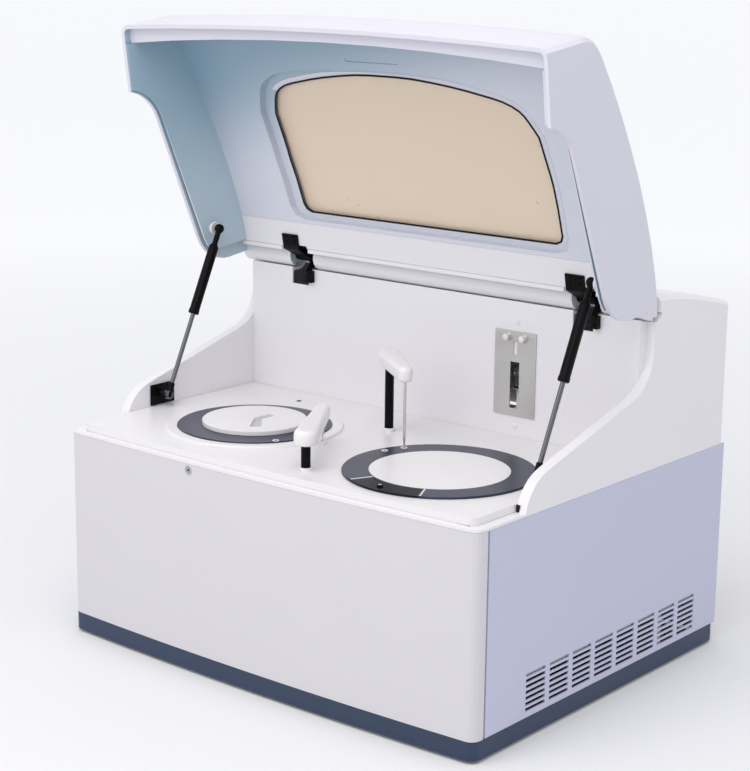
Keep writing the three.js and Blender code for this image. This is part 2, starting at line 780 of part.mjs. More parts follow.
function carousel(disc, hole, ringWidth, pockets) {
  const rim = hole + bowlWall - carouselGap;
  const low = carouselTop - ringHeight;
  const body = turned([
    [0, drivePlateZ[0]], [spindleRadius / 2, drivePlateZ[0]], [spindleRadius / 2, drivePlateZ[1] + seat],
    [spindleRadius, drivePlateZ[1] + seat], [spindleRadius, pulleyZ[0]], [discPulley, pulleyZ[0]],
    [discPulley, pulleyZ[1]], [spindleRadius, pulleyZ[1]], [spindleRadius, webZ[0]],
    [rim - ringWidth, webZ[0]], [rim - ringWidth, low], [rim, low], [rim, carouselTop],
    [rim - ringWidth, carouselTop], [rim - ringWidth, webZ[1]], [spindleRadius, webZ[1]],
    [spindleRadius, spindleTop], [0, spindleTop],
  ], ...disc, 28);
  return cut(body, ...pockets);
}

// Disc covers
const coverThick = 3.2;
const coverBase = deckZ + seat;
const coverTop = coverBase + coverThick;
const coverSpigot = 5;
const coverEdge = 1.2;
const probeHole = 3.5;
const ringShown = 42;
const centreRadius = reactionRim - ringShown;
const centreLedge = 6;
const flapFrom = -115;
const flapTo = -65;
const flapFit = 0.3;
const flapLedge = 1.2;
const flapFloor = coverBase + flapLedge;
const flapMargin = 6;
const flapInner = centreRadius + flapMargin / 2;
const sampleCoverTop = 375;
const capRadius = 88.5;
const capTop = 383.5;
const capWall = 3;
const capLedge = 12;

function sector(disc, radii, angles, z) {
  return plate([
    ...arc(...disc, radii[1], angles[0], angles[1], 8),
    ...arc(...disc, radii[0], angles[1], angles[0], 8),
  ], z);
}

const probeHoles = (...places) => places.map((place) =>
  post(...place, [coverBase - overrun, coverBase + overrun], probeHole, 10));

function reactionCover() {
  const spigotOuter = reactionHole - 2 * seat;
  const middle = (coverBase + coverTop) / 2;
  const body = turned([
    [centreRadius - centreLedge, coverBase], [spigotOuter - coverThick, coverBase],
    [spigotOuter - coverThick, coverBase - coverSpigot], [spigotOuter, coverBase - coverSpigot],
    [spigotOuter, coverBase], [reactionRim, coverBase], [reactionRim, coverTop - coverEdge],
    [reactionRim - coverEdge, coverTop], [centreRadius, coverTop], [centreRadius, middle],
    [centreRadius - centreLedge, middle], [centreRadius - centreLedge, coverBase],
  ], ...reactionDisc, discSides);
  const flapSpan = [flapFrom, flapTo];
  const mouth = flapMargin * 180 / (Math.PI * flapInner);
  return cut(
    body,
    sector(reactionDisc, [flapInner, reactionRim + overrun], flapSpan, [flapFloor, coverTop + overrun]),
    sector(reactionDisc, [flapInner + flapMargin, spigotOuter - 2 * flapMargin],
      [flapFrom + mouth, flapTo - mouth], [coverBase - overrun, coverTop + overrun]),
    ...probeHoles(reagentOverReaction, sampleOverReaction),
  );
}

function reactionCentreCover() {
  const base = (coverBase + coverTop) / 2 + seat;
  return post(...reactionDisc, [base, coverTop], centreRadius - seat, discSides);
}

function accessFlap() {
  const trim = flapFit * 180 / (Math.PI * flapInner);
  return sector(reactionDisc, [flapInner + flapFit, reactionRim], [flapFrom + trim, flapTo - trim],
    [flapFloor + seat, coverTop]);
}

function sampleCover() {
  const spigotOuter = sampleHole - 2 * seat;
  const body = turned([
    [capRadius - capLedge, coverTop], [spigotOuter - coverThick, coverBase],
    [spigotOuter - coverThick, coverBase - coverSpigot], [spigotOuter, coverBase - coverSpigot],
    [spigotOuter, coverBase], [sampleRim, coverBase], [sampleRim, sampleCoverTop - coverEdge],
    [sampleRim - coverEdge, sampleCoverTop], [capRadius - capLedge, sampleCoverTop],
    [capRadius - capLedge, coverTop],
  ], ...sampleDisc, discSides);
  return cut(body, ...probeHoles(reagentOverSample, sampleOverSample));
}

const capGripDepth = 4;
const capGrip = [[34, -49], [48, -36], [14, 3], [14, 34], [0, 40], [-2, 0]];

function sampleCap() {
  const [x, y] = sampleDisc;
  const base = sampleCoverTop + seat;
  const roof = capTop - 2 * capWall;
  const body = turned([
    [0, roof], [capRadius - capWall, roof], [capRadius - capWall, base], [capRadius, base],
    [capRadius, capTop - capWall / 2], [capRadius - capWall / 2, capTop], [0, capTop],
  ], x, y, discSides);
  return cut(body, plate(capGrip.map(([u, v]) => [x + u, y + v]), [capTop - capGripDepth, capTop + overrun]));
}

// Probe arms: a lift carriage, a turning post, a moulded arm and a probe
const armTail = 19;
const armNose = 12;
const armHeight = 28;
const armEdge = 9;
const armWall = 2.5;
const probeRadius = 2.4;
const probeTipRadius = 0.9;
const probeTaper = 14;
const reagentArmZ = 480;
const sampleArmZ = 408;
const reagentTipZ = 376.5;
const sampleTipZ = 376.5;
const carriageHeight = 30;
const reagentCarriageZ = 232;
const sampleCarriageZ = 232;
const collarRadius = 12;
const collarHeight = 8;

function armCover(pivot, reach, angle, z) {
  const tail = armTail - armEdge;
  const nose = armNose - armEdge;
  const lean = THREE.MathUtils.radToDeg(Math.asin((tail - nose) / reach));
  const outline = (shrink) => [
    ...arc(0, 0, tail - shrink, 90 - lean, 270 + lean, 8),
    ...arc(reach, 0, nose - shrink, -90 + lean, 90 - lean, 6),
  ];
  const geometry = new THREE.ExtrudeGeometry(loop(outline(0)), {
    depth: armHeight - 2 * armEdge,
    bevelEnabled: true,
    bevelThickness: armEdge,
    bevelSize: armEdge,
    bevelSegments: 3,
  });
  geometry.translate(0, 0, armEdge);
  const bosses = [[0, postRadius], [reach, probeRadius]].map(([x, radius]) => cut(
    post(x, 0, [armWall, armHeight - armEdge], radius + armWall, 16),
    post(x, 0, [-overrun, armHeight / 2], radius + seat, 16),
  ));
  const shell = cut(solid(geometry), plate(outline(armWall - armEdge), [-overrun, armHeight - armEdge]));
  return join(shell, ...bosses).rotate([0, 0, THREE.MathUtils.radToDeg(angle)])
    .translate([pivot[0], pivot[1], z]);
}

function armPost(pivot, carriage, armZ) {
  const top = armZ + armHeight / 2 - seat;
  const collar = carriage + carriageHeight + seat;
  return turned([
    [0, carriage], [postRadius, carriage], [postRadius, collar], [collarRadius, collar],
    [collarRadius, collar + collarHeight], [postRadius, collar + collarHeight], [postRadius, top], [0, top],
  ], ...pivot, 20);
}

function probe(pivot, reach, angle, tipZ, armZ) {
  const top = armZ + armHeight / 2 - seat;
  return turned([
    [0, tipZ], [probeTipRadius, tipZ], [probeRadius, tipZ + probeTaper], [probeRadius, top], [0, top],
  ], ...ahead(pivot, reach, angle), 10);
}

function liftCarriage([x, y], z) {
  return cut(
    block([x - carriageHalf, x + carriageHalf], [y - carriageHalf, y + carriageHalf], [z, z + carriageHeight]),
    post(x, y, [z - overrun, z + carriageHeight + overrun], postRadius + seat, 20),
  );
}

// Syringe unit in the back wall
const syringePlateX = [137, 219];
const syringePlateZ = [404, 547];
const syringeSheet = 2;
const barrelY = wallFaceY + 9;
const barrelRadius = 7;
const barrelBore = 4.5;
const barrelZ = [440, 486];
const barrelCap = 4;
const cradleHalf = 14;
const cradleZ = [[444, 450], [470, 476]];
const plungerRadius = 4.2;
const plungerRod = 2;
const plungerHeadZ = [446, 454];
const plungerKnob = 6.5;
const plungerKnobZ = [412, 416];
const knobRadius = 7;
const knobRise = 6;
const knobX = [162, 194];
const knobZ = 536;
const windowHalfX = 9;
const syringeWindowZ = [417, 495];
const slotHalfX = 4;
const slotZ = [507, 529];

function syringePlate() {
  const y = [wallFaceY - seat - syringeSheet, wallFaceY - seat];
  const knobs = knobX.map((x) => pinY(x, [y[0] - knobRise, y[1]], knobZ, knobRadius, 16));
  const cradles = cradleZ.map((z) =>
    block([syringeX - cradleHalf, syringeX + cradleHalf], [y[0], barrelY + barrelRadius + wallSheet], z));
  const bore = post(syringeX, barrelY, barrelZ, barrelRadius + seat, 16);
  const throat = block([syringeX - windowHalfX, syringeX + windowHalfX], [y[0] - overrun, barrelY],
    syringeWindowZ);
  const slot = block([syringeX - slotHalfX, syringeX + slotHalfX], [y[0] - overrun, y[1] + lap], slotZ);
  return cut(join(block(syringePlateX, y, syringePlateZ), ...knobs, ...cradles), bore, throat, slot);
}

function syringeBarrel() {
  return cut(
    post(syringeX, barrelY, barrelZ, barrelRadius, 16),
    post(syringeX, barrelY, [barrelZ[0] - overrun, barrelZ[1] - barrelCap], barrelBore, 12),
  );
}

function syringePlunger() {
  return turned([
    [0, plungerKnobZ[0]], [plungerKnob, plungerKnobZ[0]], [plungerKnob, plungerKnobZ[1]],
    [plungerRod, plungerKnobZ[1]], [plungerRod, plungerHeadZ[0]], [plungerRadius, plungerHeadZ[0]],
    [plungerRadius, plungerHeadZ[1]], [0, plungerHeadZ[1]],
  ], syringeX, barrelY, 12);
}

// Lid: outer shell with its hinge rail, inner liner, window and gasket.
// Levels inside the lid are measured straight down from its top line.
const lidWall = 7;
const linerLevel = 50;
const linerSheet = 3;
const linerDraft = 14;
const stripY = [38, 86];
const linerBackY = 84;
const throatY = wallFaceY - notchFit;
const lipWidth = 24;
const lipFlare = 20;
const lipZ = [deckZ + 3, deckZ + 10];
const windowLevel = { paneTop: 26.7, paneBottom: 30.7, lipTop: 34, lipBottom: 37 };
const windowFrame = { seatEdge: 6, collar: 10, border: 22, borderWall: 25 };
const windowBackY = 18;
const windowFrontY = -251;
const windowMiddle = 12;
const windowEndShare = 0.55;
const windowArch = [
  [272, -165], [261, -190], [250, -206], [225, -220], [184, -230], [132, -240], [60, -249], [0, windowFrontY],
];
const windowSide = [[275, -80], [272, 4], [268, 13], [258, windowBackY]];
const archSteps = 28;
const gasketSheet = 2.7;
const gripX = [-42, 65];
const gripY = [-282, -276];
const gripDepth = 1;

function topAt(y) {
  const after = topLine.findIndex((point) => point[0] >= y);
  const [y0, z0] = topLine[after - 1];
  const [y1, z1] = topLine[after];
  return z0 + (z1 - z0) * (y - y0) / (y1 - y0);
}

function levelLine(level, fromY, toY) {
  const between = topLine.filter(([y]) => y > fromY && y < toY);
  return [[fromY, topAt(fromY)], ...between, [toY, topAt(toY)]].map(([y, z]) => [y, z - level]);
}

function slab(levels, y, x = [-width, width]) {
  return beam([...levelLine(levels[1], ...y), ...levelLine(levels[0], ...y).reverse()], x);
}

function windowOutline(grow) {
  const across = ([x, y]) => [-x, y];
  const knots = [...windowArch.map(across), ...windowArch.slice(0, -1).reverse()];
  const spline = new THREE.SplineCurve(knots.map(([x, y]) => new THREE.Vector2(x, y)));
  const arch = spline.getPoints(archSteps).map((p) => [p.x, p.y]);
  const outline = [...arch, ...windowSide, ...windowSide.map(across).reverse()];
  return inset(outline, -grow).map(([x, y]) => {
    const inside = THREE.MathUtils.clamp(y, windowFrontY, windowBackY);
    return [x + windowMiddle, inside + (y - inside) * windowEndShare];
  });
}

const windowPrism = (grow, levels) =>
  plate(windowOutline(grow), [seamZ, crestZ + overrun])
    .intersect(slab(levels, [windowFrontY - 2 * overrun, stripY[0] + overrun]));
const windowRing = (from, to, levels) =>
  cut(windowPrism(to, levels), windowPrism(from, [-overrun, 2 * linerLevel]));

// A white lip along the lid's front edge, just above the work top; the liner starts behind it
function frontLip(z, grow) {
  const edge = Array.from({ length: bowSteps + 1 }, (_, i) => {
    const x = halfWidth * (2 * i / bowSteps - 1);
    return [x, frontY + lipWidth + lipFlare * (x / halfWidth) ** 2 + grow];
  });
  return plate([[-halfWidth, frontY - overrun], [halfWidth, frontY - overrun], ...edge.reverse()], z);
}

function lidShell() {
  const outer = form.intersect(beam(lidSide, [-width, width]));
  const railY = hingeY - railRadius;
  const cavity = cabinetForm(lidWall).intersect(beam([
    [frontY - overrun, rimZ - overrun],
    [cheekBackY + overrun, rimZ - overrun],
    [cheekBackY + overrun, hingeZ - railRadius - wall],
    [railY, hingeZ - railRadius - wall],
    [railY, hingeZ],
    [hingeY - noseRadius, crestZ + overrun],
    [frontY - overrun, crestZ + overrun],
  ], [-width, width]));
  const throatX = halfWidth - lidWall;
  const throat = beam([
    [throatY, rimZ], [throatY, hingeZ - railRadius * Math.sin(Math.acos((hingeY - throatY) / railRadius))],
    ...arc(hingeY, hingeZ, railRadius, -135, -90, 4), [cheekBackY + overrun, hingeZ - railRadius],
    [cheekBackY + overrun, rimZ],
  ], [-throatX, throatX]);
  const insideX = [-halfWidth + lidWall - lap, halfWidth - lidWall + lap];
  const strip = slab([linerLevel - wall, linerLevel], stripY, insideX);
  const stripEnd = topAt(stripY[1]) - linerLevel;
  const riser = beam([
    [stripY[1] - wall, stripEnd], [stripY[1], stripEnd], [throatY, hingeZ - noseRadius], [throatY, hingeZ],
    [railY, hingeZ],
  ], insideX);
  const { seatEdge, collar } = windowFrame;
  const { lipTop, lipBottom } = windowLevel;
  const notches = hingeX.map((x) => block(
    [x - hingeHalf - notchFit, x + hingeHalf + hingeFootGap + hingeFoot + notchFit],
    [leafY[1] - panelGap, cheekBackY + overrun],
    [hingeZ - 2 * railRadius, crestZ - wall],
  ));
  return cut(
    join(
      cut(outer, cavity, throat, windowPrism(seatEdge, [-overrun, linerLevel / 2])),
      strip,
      riser,
      form.intersect(frontLip(lipZ, 0)),
      windowRing(seatEdge, collar, [wall, lipBottom]),
      windowRing(0, collar, [lipTop, lipBottom]),
    ),
    ...notches,
  );
}

const windowGasket = () => windowRing(1, windowFrame.seatEdge - seat,
  [windowLevel.lipTop - seat - gasketSheet, windowLevel.lipTop - seat]);
const windowPane = () => windowPrism(windowFrame.seatEdge - 2 * seat,
  [windowLevel.paneTop, windowLevel.paneBottom]);

const linerBase = rimZ + lidGap + seat;
const linerEdge = 3;
const strutX = 391.5;
const strutFoot = [-145, 390];
const strutHeadOpen = [-15, 668];
const strutHead = closedPlace(strutHeadOpen);
const cylinderRadius = 9.5;
const studRadius = 6;
const strutFaceX = strutX + cylinderRadius + panelGap;

// A place on the open lid, turned down to where it lies with the lid closed
function closedPlace([y, z]) {
  const [dy, dz] = [y - hingeY, z - hingeZ];
  return [
    hingeY + dy * Math.cos(openAngle) - dz * Math.sin(openAngle),
    hingeZ + dy * Math.sin(openAngle) + dz * Math.cos(openAngle),
  ];
}

function lidLiner() {
  const inFront = beam([
    [frontY - overrun, linerBase], ...cheekLine(lidGap + linerEdge, linerBase), [hingeY, crestZ],
    [frontY - overrun, crestZ],
  ], [-width, width]);
  const split = stripY[0] - seat;
  const under = beam([
    [frontY, rimZ], [linerBackY, rimZ],
    ...levelLine(linerLevel + seat, split, linerBackY).reverse(),
    ...levelLine(linerLevel - linerSheet, frontY + lap, split).reverse(),
    [frontY, topAt(frontY + lap) - linerLevel],
  ], [-width, width]);
  const hollow = beam([
    [frontY, rimZ - overrun], [linerBackY + overrun, rimZ - overrun],
    ...levelLine(linerLevel, frontY + lap, linerBackY + overrun).reverse(),
    [frontY, topAt(frontY + lap) - linerLevel],
  ], [-width, width]);
  const tub = cut(
    cabinetForm(lidWall + seat).intersect(inFront).intersect(under),
    cabinetForm(lidWall + seat + linerSheet).intersect(hollow),
  ).warp((v) => {
    const share = THREE.MathUtils.clamp((v[2] - linerBase) / (hingeZ - linerBase), 0, 1);
    v[0] *= 1 - share * linerDraft / halfWidth;
  });
  const { collar, border, borderWall } = windowFrame;
  const { lipTop, lipBottom } = windowLevel;
  const studs = [-1, 1].map((side) => {
    const x = [side * strutFaceX, side * (halfWidth - linerDraft - linerSheet)].sort((a, b) => a - b);
    return pinX(x, ...strutHead, studRadius, 16);
  });
  return join(
    cut(
      tub,
      windowPrism(border, [linerLevel / 2, 2 * linerLevel]),
      slab([linerLevel - gripDepth, 2 * linerLevel], gripY, gripX),
      frontLip([seamZ, lipZ[1] + seat], seat),
    ),
    windowRing(border, borderWall, [lipTop, linerLevel]),
    windowRing(collar + seat, borderWall, [lipTop, lipBottom]),
    ...studs,
  );
}

// Hinges: a bracket on the back wall with a pin, and an arm under the lid's strip
const leafY = [62, 82];
const leafSheet = 3;
const barrelOuter = 10;
const hingePin = 4;
const footY = [85, wallFaceY - seat];
const footZ = [573, 594];
const earSheet = 7;

function hingeArm(x) {
  const across = [x - hingeHalf, x + hingeHalf];
  const under = (y, lower) => [y, topAt(y) - linerLevel - seat - lower];
  const arm = beam([
    under(leafY[0], 0), under(leafY[1], 0), [hingeY - hingePin, hingeZ + hingePin],
    [hingeY + hingePin, hingeZ - hingePin], under(leafY[1] + 2 * hingePin, leafSheet),
    under(leafY[1], leafSheet), under(leafY[0], leafSheet),
  ], across);
  return cut(
    join(arm, pinX(across, hingeY, hingeZ, barrelOuter, 16)),
    pinX([across[0] - overrun, across[1] + overrun], hingeY, hingeZ, hingePin + seat, 12),
  );
}

function hingeBracket(x) {
  const from = x + hingeHalf + hingeFootGap;
  const ear = beam([
    [footY[0] + lap, footZ[1] - earSheet], [footY[1], footZ[1] - earSheet], [footY[1], footZ[1] + hingePin],
    [wallFaceY + hingePin, footZ[1] + hingePin + lap], [hingeY + hingePin, hingeZ - 2 * hingePin],
    [hingeY, hingeZ + 2 * hingePin], [hingeY - 2 * hingePin, hingeZ + hingePin],
    [footY[0] + lap, footZ[1]],
  ], [from, from + earSheet]);
  return join(
    block([from, from + hingeFoot], footY, footZ),
    ear,
    pinX([x - hingeHalf, from + lap], hingeY, hingeZ, hingePin, 12),
  );
}

// Gas struts: a bracket on each cheek, a rod that pivots on it, a cylinder that slides on the rod
const strutSpan = span(strutFoot, strutHeadOpen);
const strutLean = THREE.MathUtils.radToDeg(bearing(strutFoot, strutHeadOpen)) - 90;
const cylinderLength = 158;
const rodRadius = 4;
const rodOverlap = 25;
const cylinderBore = cylinderLength - overrun;
const eyeRadius = 8;
const eyeHalf = 5;
const strutPin = 3;
const bracketY = [-169, -114];
const bracketZ = [371, 407];

const alongStrut = (body, side) => body.rotate([strutLean, 0, 0])
  .translate([side * strutX, strutFoot[0], strutFoot[1]]);

function strutBracket(side) {
  const face = [side * (innerX - seat), side * (innerX - seat - sheet)].sort((a, b) => a - b);
  const boss = [side * (innerX - sheet), side * (strutX + eyeHalf + seat)].sort((a, b) => a - b);
  const pin = [side * (innerX - sheet), side * (strutX - eyeHalf - lap)].sort((a, b) => a - b);
  return join(
    block(face, bracketY, bracketZ),
    pinX(boss, ...strutFoot, eyeRadius - lap, 16),
    pinX(pin, ...strutFoot, strutPin, 12),
  );
}

function strutRod(side) {
  const length = strutSpan - cylinderLength + rodOverlap;
  const rod = alongStrut(post(0, 0, [eyeRadius / 2, length], rodRadius, 12), side);
  const across = [side * (strutX - eyeHalf), side * (strutX + eyeHalf)].sort((a, b) => a - b);
  return cut(
    join(rod, pinX(across, ...strutFoot, eyeRadius, 16)),
    pinX([across[0] - overrun, across[1] + overrun], ...strutFoot, strutPin + seat, 12),
  );
}

function strutCylinder(side) {
  const start = strutSpan - cylinderLength;
  const tube = cut(
    post(0, 0, [start, strutSpan - eyeRadius / 2], cylinderRadius, 16),
    post(0, 0, [start - overrun, start + cylinderBore], rodRadius + seat, 12),
  );
  const across = [side * (strutX - eyeHalf), side * (strutX + cylinderRadius)].sort((a, b) => a - b);
  return join(alongStrut(tube, side), pinX(across, ...strutHeadOpen, eyeRadius, 16));
}

// Parts inside the cabinet
const supplyX = [-330, -190];
const insideBackY = frameBackY - 35;
const supplyY = [insideBackY - 170, insideBackY];
const supplyTop = 80;
const boardX = [150, 340];
const boardY = [insideBackY - 170, insideBackY - 10];
const boardRise = 8;
const boardSheet = 1.6;
const pumpX = [-130, 10];
const pumpY = [insideBackY - 140, insideBackY - 40];
const pumpBase = 10;
const pumpRadius = 22;
const photometerX = [187, 247];
const photometerY = [-284, -240];
const photometerZ = [256, bowlFloor - seat];
const insideFloor = plinthFloor + wall + seat;

function powerSupply() {
  return join(
    block(supplyX, supplyY, [insideFloor, supplyTop]),
    block([supplyX[0] + sheet, supplyX[1] - sheet], [supplyY[0] + sheet, supplyY[1] - sheet],
      [insideFloor, supplyTop + sheet]),
  );
}

function controlBoard() {
  const base = insideFloor + boardRise;
  const top = base + boardSheet;
  const margin = 2 * boardRise;
  const legs = boardX.flatMap((x, i) => boardY.map((y, j) => post(
    x + (i ? -boardRise : boardRise), y + (j ? -boardRise : boardRise), [insideFloor, base + lap], sheet, 6)));
  const chips = [0, 1, 2].map((place) => block(
    [boardX[0] + margin * (1 + 3 * place), boardX[0] + margin * (3 + 3 * place)],
    [boardY[0] + margin, boardY[0] + 3 * margin], [top - lap, top + sheet]));
  const connector = block([boardX[0] + margin, boardX[1] - margin], [boardY[1] - 2 * margin, boardY[1] - margin],
    [top - lap, top + 2 * boardRise]);
  return join(block(boardX, boardY, [base, top]), ...legs, ...chips, connector);
}

function pumpUnit() {
  const z = insideFloor + pumpBase + pumpRadius;
  const heads = [1, 3].map((place) => {
    const x = pumpX[0] + (pumpX[1] - pumpX[0]) * place / 4;
    return join(
      pinY(x, [pumpY[0] + pumpBase, pumpY[1] - pumpBase], z, pumpRadius, 16),
      pinY(x, [pumpY[0], pumpY[1]], z, pumpRadius / 2, 12),
    );
  });
  return join(block(pumpX, pumpY, [insideFloor, insideFloor + pumpBase + sheet]), ...heads);
}

function photometer() {
  const middle = (photometerX[0] + photometerX[1]) / 2;
  return join(
    block(photometerX, photometerY, photometerZ),
    pinY(middle, [photometerY[0] - pumpBase, photometerY[0] + lap], (photometerZ[0] + photometerZ[1]) / 2,
      pumpBase, 12),
  );
}

add('base_plinth', basePlinth(), navyPaint);
for (const [place, sideX, sideY] of footPositions) {
  add(`foot_${place}`, foot(sideX, sideY), rubber);
}
add('chassis_frame', chassisFrame(), zincSteel);
add('front_panel', frontPanel(), coverPaint);
add('side_panel_left', sidePanel(-1, 0), coverPaint);
add('side_panel_right', sidePanel(1, ventColumns), coverPaint);
add('rear_panel', rearPanel(), coverPaint);
add('upper_housing', upperHousing(), coverPaint);
add('deck_plate', deckPlate(), whitePlastic);
add('indicator_lamp', indicatorLamp(), smokedPane);
add('fan_rotor', fanRotor(), blackPlastic);
add('power_inlet', powerInlet(), blackPlastic);
add('power_rocker', powerRocker(), blackPlastic);
add('power_supply', powerSupply(), zincSteel);
add('control_board', controlBoard(), boardGreen);
add('pump_unit', pumpUnit(), zincSteel);
add('photometer', photometer(), blackSteel);

add('sample_bowl', discBowl(sampleDisc, sampleHole, sampleDrive), blackPlastic);
add('reaction_bath', discBowl(reactionDisc, reactionHole, reactionDrive), blackPlastic);
add('sample_carousel', carousel(sampleDisc, sampleHole, sampleRing, [
  ...pocketRow(sampleDisc, sampleOverSample, tubeCount, tubeRadius, 6),
  ...pocketRow(sampleDisc, reagentOverSample, bottleCount, bottleRadius, 8),
]), whitePlastic);
add('reaction_carousel', carousel(reactionDisc, reactionHole, cuvetteRing,
  pocketRow(reactionDisc, reagentOverReaction, cuvetteCount, cuvetteRadius, 4)), whitePlastic);
add('sample_motor', driveMotor(sampleDisc, sampleDrive), zincSteel);
add('reaction_motor', driveMotor(reactionDisc, reactionDrive), zincSteel);
add('sample_drive_pulley', drivePulley(sampleDisc, sampleDrive), brushedSteel);
add('reaction_drive_pulley', drivePulley(reactionDisc, reactionDrive), brushedSteel);
add('sample_belt', driveBelt(sampleDisc, sampleDrive), rubber);
add('reaction_belt', driveBelt(reactionDisc, reactionDrive), rubber);
add('reaction_cover', reactionCover(), navyPaint);
add('reaction_centre_cover', reactionCentreCover(), whitePlastic);
add('access_flap', accessFlap(), blackPlastic);
add('sample_cover', sampleCover(), navyPaint);
add('sample_cap', sampleCap(), whitePlastic);

add('reagent_lift_carriage', liftCarriage(reagentPost, reagentCarriageZ), zincSteel);
add('reagent_arm_post', armPost(reagentPost, reagentCarriageZ, reagentArmZ), blackSteel);
add('reagent_arm_cover', armCover(reagentPost, reagentReach, reagentRest, reagentArmZ), whitePlastic);
add('reagent_probe', probe(reagentPost, reagentReach, reagentRest, reagentTipZ, reagentArmZ), brushedSteel);
add('sample_lift_carriage', liftCarriage(samplePost, sampleCarriageZ), zincSteel);
add('sample_arm_post', armPost(samplePost, sampleCarriageZ, sampleArmZ), blackSteel);
add('sample_arm_cover', armCover(samplePost, sampleReach, sampleRest, sampleArmZ), whitePlastic);
add('sample_probe', probe(samplePost, sampleReach, sampleRest, sampleTipZ, sampleArmZ), brushedSteel);
add('syringe_plate', syringePlate(), brushedSteel);
add('syringe_barrel', syringeBarrel(), clearPlastic);
add('syringe_plunger', syringePlunger(), whitePlastic);

add('lid_shell', lidShell(), coverPaint, lid);
add('lid_liner', lidLiner(), linerPaint, lid);
add('window_pane', windowPane(), tintedPane, lid);
add('window_gasket', windowGasket(), rubber, lid);
const sides = [['left', -1], ['right', 1]];
hingeX.forEach((x, i) => {
  add(`hinge_bracket_${sides[i][0]}`, hingeBracket(x), blackSteel);
  add(`hinge_arm_${sides[i][0]}`, hingeArm(x), blackSteel, lid);
});
for (const [name, side] of sides) {
  add(`strut_bracket_${name}`, strutBracket(side), blackSteel);
  add(`strut_rod_${name}`, strutRod(side), brushedSteel);
  add(`strut_cylinder_${name}`, strutCylinder(side), blackSteel);
}

export default parts;
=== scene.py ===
# %% [markdown]
# A benchtop chemistry analyzer is a white cabinet with a raised work top and a big lid.
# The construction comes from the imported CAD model, and this script only dresses it.
# Everything is in metres, in the CAD model's own frame, so nothing is fitted by eye.

# %% Load the frame
import json
import math

import bmesh
import bpy
import numpy as np
from mathutils import Matrix, Vector
from mathutils.bvhtree import BVHTree
from mathutils.kdtree import KDTree


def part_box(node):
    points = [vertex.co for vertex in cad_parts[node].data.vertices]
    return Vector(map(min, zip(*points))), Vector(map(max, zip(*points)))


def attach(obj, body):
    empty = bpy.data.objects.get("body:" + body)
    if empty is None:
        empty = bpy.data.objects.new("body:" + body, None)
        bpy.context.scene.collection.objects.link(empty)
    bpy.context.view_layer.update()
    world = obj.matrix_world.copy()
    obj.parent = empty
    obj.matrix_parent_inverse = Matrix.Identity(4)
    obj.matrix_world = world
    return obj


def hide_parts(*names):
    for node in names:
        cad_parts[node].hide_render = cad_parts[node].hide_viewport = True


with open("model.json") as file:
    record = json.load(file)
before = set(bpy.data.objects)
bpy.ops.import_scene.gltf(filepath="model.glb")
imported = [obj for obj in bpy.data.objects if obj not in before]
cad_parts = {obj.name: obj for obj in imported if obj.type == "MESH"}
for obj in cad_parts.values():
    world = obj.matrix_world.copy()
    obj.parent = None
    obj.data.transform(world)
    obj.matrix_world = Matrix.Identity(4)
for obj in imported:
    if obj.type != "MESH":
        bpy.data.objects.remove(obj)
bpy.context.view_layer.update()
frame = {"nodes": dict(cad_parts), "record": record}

MM = 0.001

# %% [markdown]
# The camera stands where the photographer stood: in front, to the right and a little above.
# Its place and lens were worked out from the cabinet's corners, so the view matches in size too.
# The roll is small, but without it the long front edge runs off by several pixels.

# %% Camera
picture = (750, 771)
focal_pixels = 1926.6
sensor = 36.0
camera_place = Vector((1.9724, -2.4381, 1.1754))
camera_yaw = math.radians(39.58)
camera_pitch = math.radians(13.15)
camera_roll = math.radians(0.70)

lens_data = bpy.data.cameras.new("camera")
lens_data.sensor_width = sensor
lens_data.lens = focal_pixels * sensor / max(picture)
lens_data.clip_end = 200.0
camera = bpy.data.objects.new("camera", lens_data)
bpy.context.scene.collection.objects.link(camera)
camera.matrix_world = (
    Matrix.Translation(camera_place)
    @ Matrix.Rotation(camera_yaw, 4, "Z")
    @ Matrix.Rotation(math.radians(90) - camera_pitch, 4, "X")
    @ Matrix.Rotation(camera_roll, 4, "Z")
)
bpy.context.scene.camera = camera
print("lens:", round(lens_data.lens, 2), "mm")

# %% [markdown]
# The world, the materials and the Geometry Nodes are all trees, so a few short helpers place
# their nodes. A plain value is set on a socket, and another node's output is linked to it.

# %% Helpers for node trees
FLOAT, VECTOR, GEOMETRY = "NodeSocketFloat", "NodeSocketVector", "NodeSocketGeometry"


def node(tree, kind, **settings):
    made = tree.nodes.new(kind)
    for key, value in settings.items():
        setattr(made, key, value)
    return made


def feed(tree, target, value):
    """Links a socket to another node's output, or sets it to a plain value."""
    if isinstance(value, bpy.types.NodeSocket):
        tree.links.new(value, target)
    elif value is not None:
        target.default_value = value


def maths(tree, operation, first, second=None, clamp=False):
    made = node(tree, "ShaderNodeMath", operation=operation, use_clamp=clamp)
    feed(tree, made.inputs[0], first)
    feed(tree, made.inputs[1], second)
    return made.outputs[0]


def vector_maths(tree, operation, first, second=None, result="Vector"):
    made = node(tree, "ShaderNodeVectorMath", operation=operation)
    feed(tree, made.inputs[0], first)
    feed(tree, made.inputs[1], second)
    return made.outputs[result]


def noise(tree, coordinates, scale, detail, roughness):
    made = node(tree, "ShaderNodeTexNoise")
    for label, value in (("Vector", coordinates), ("Scale", scale), ("Detail", detail),
                         ("Roughness", roughness)):
        feed(tree, made.inputs[label], value)
    return made.outputs[0]


def map_range(tree, value, low, high, start=0.0, end=1.0, kind="LINEAR"):
    made = node(tree, "ShaderNodeMapRange", interpolation_type=kind)
    for label, part in (("Value", value), ("From Min", start), ("From Max", end), ("To Min", low),
                        ("To Max", high)):
        feed(tree, made.inputs[label], part)
    return made.outputs["Result"]


def object_place(tree):
    return node(tree, "ShaderNodeTexCoord").outputs["Object"]


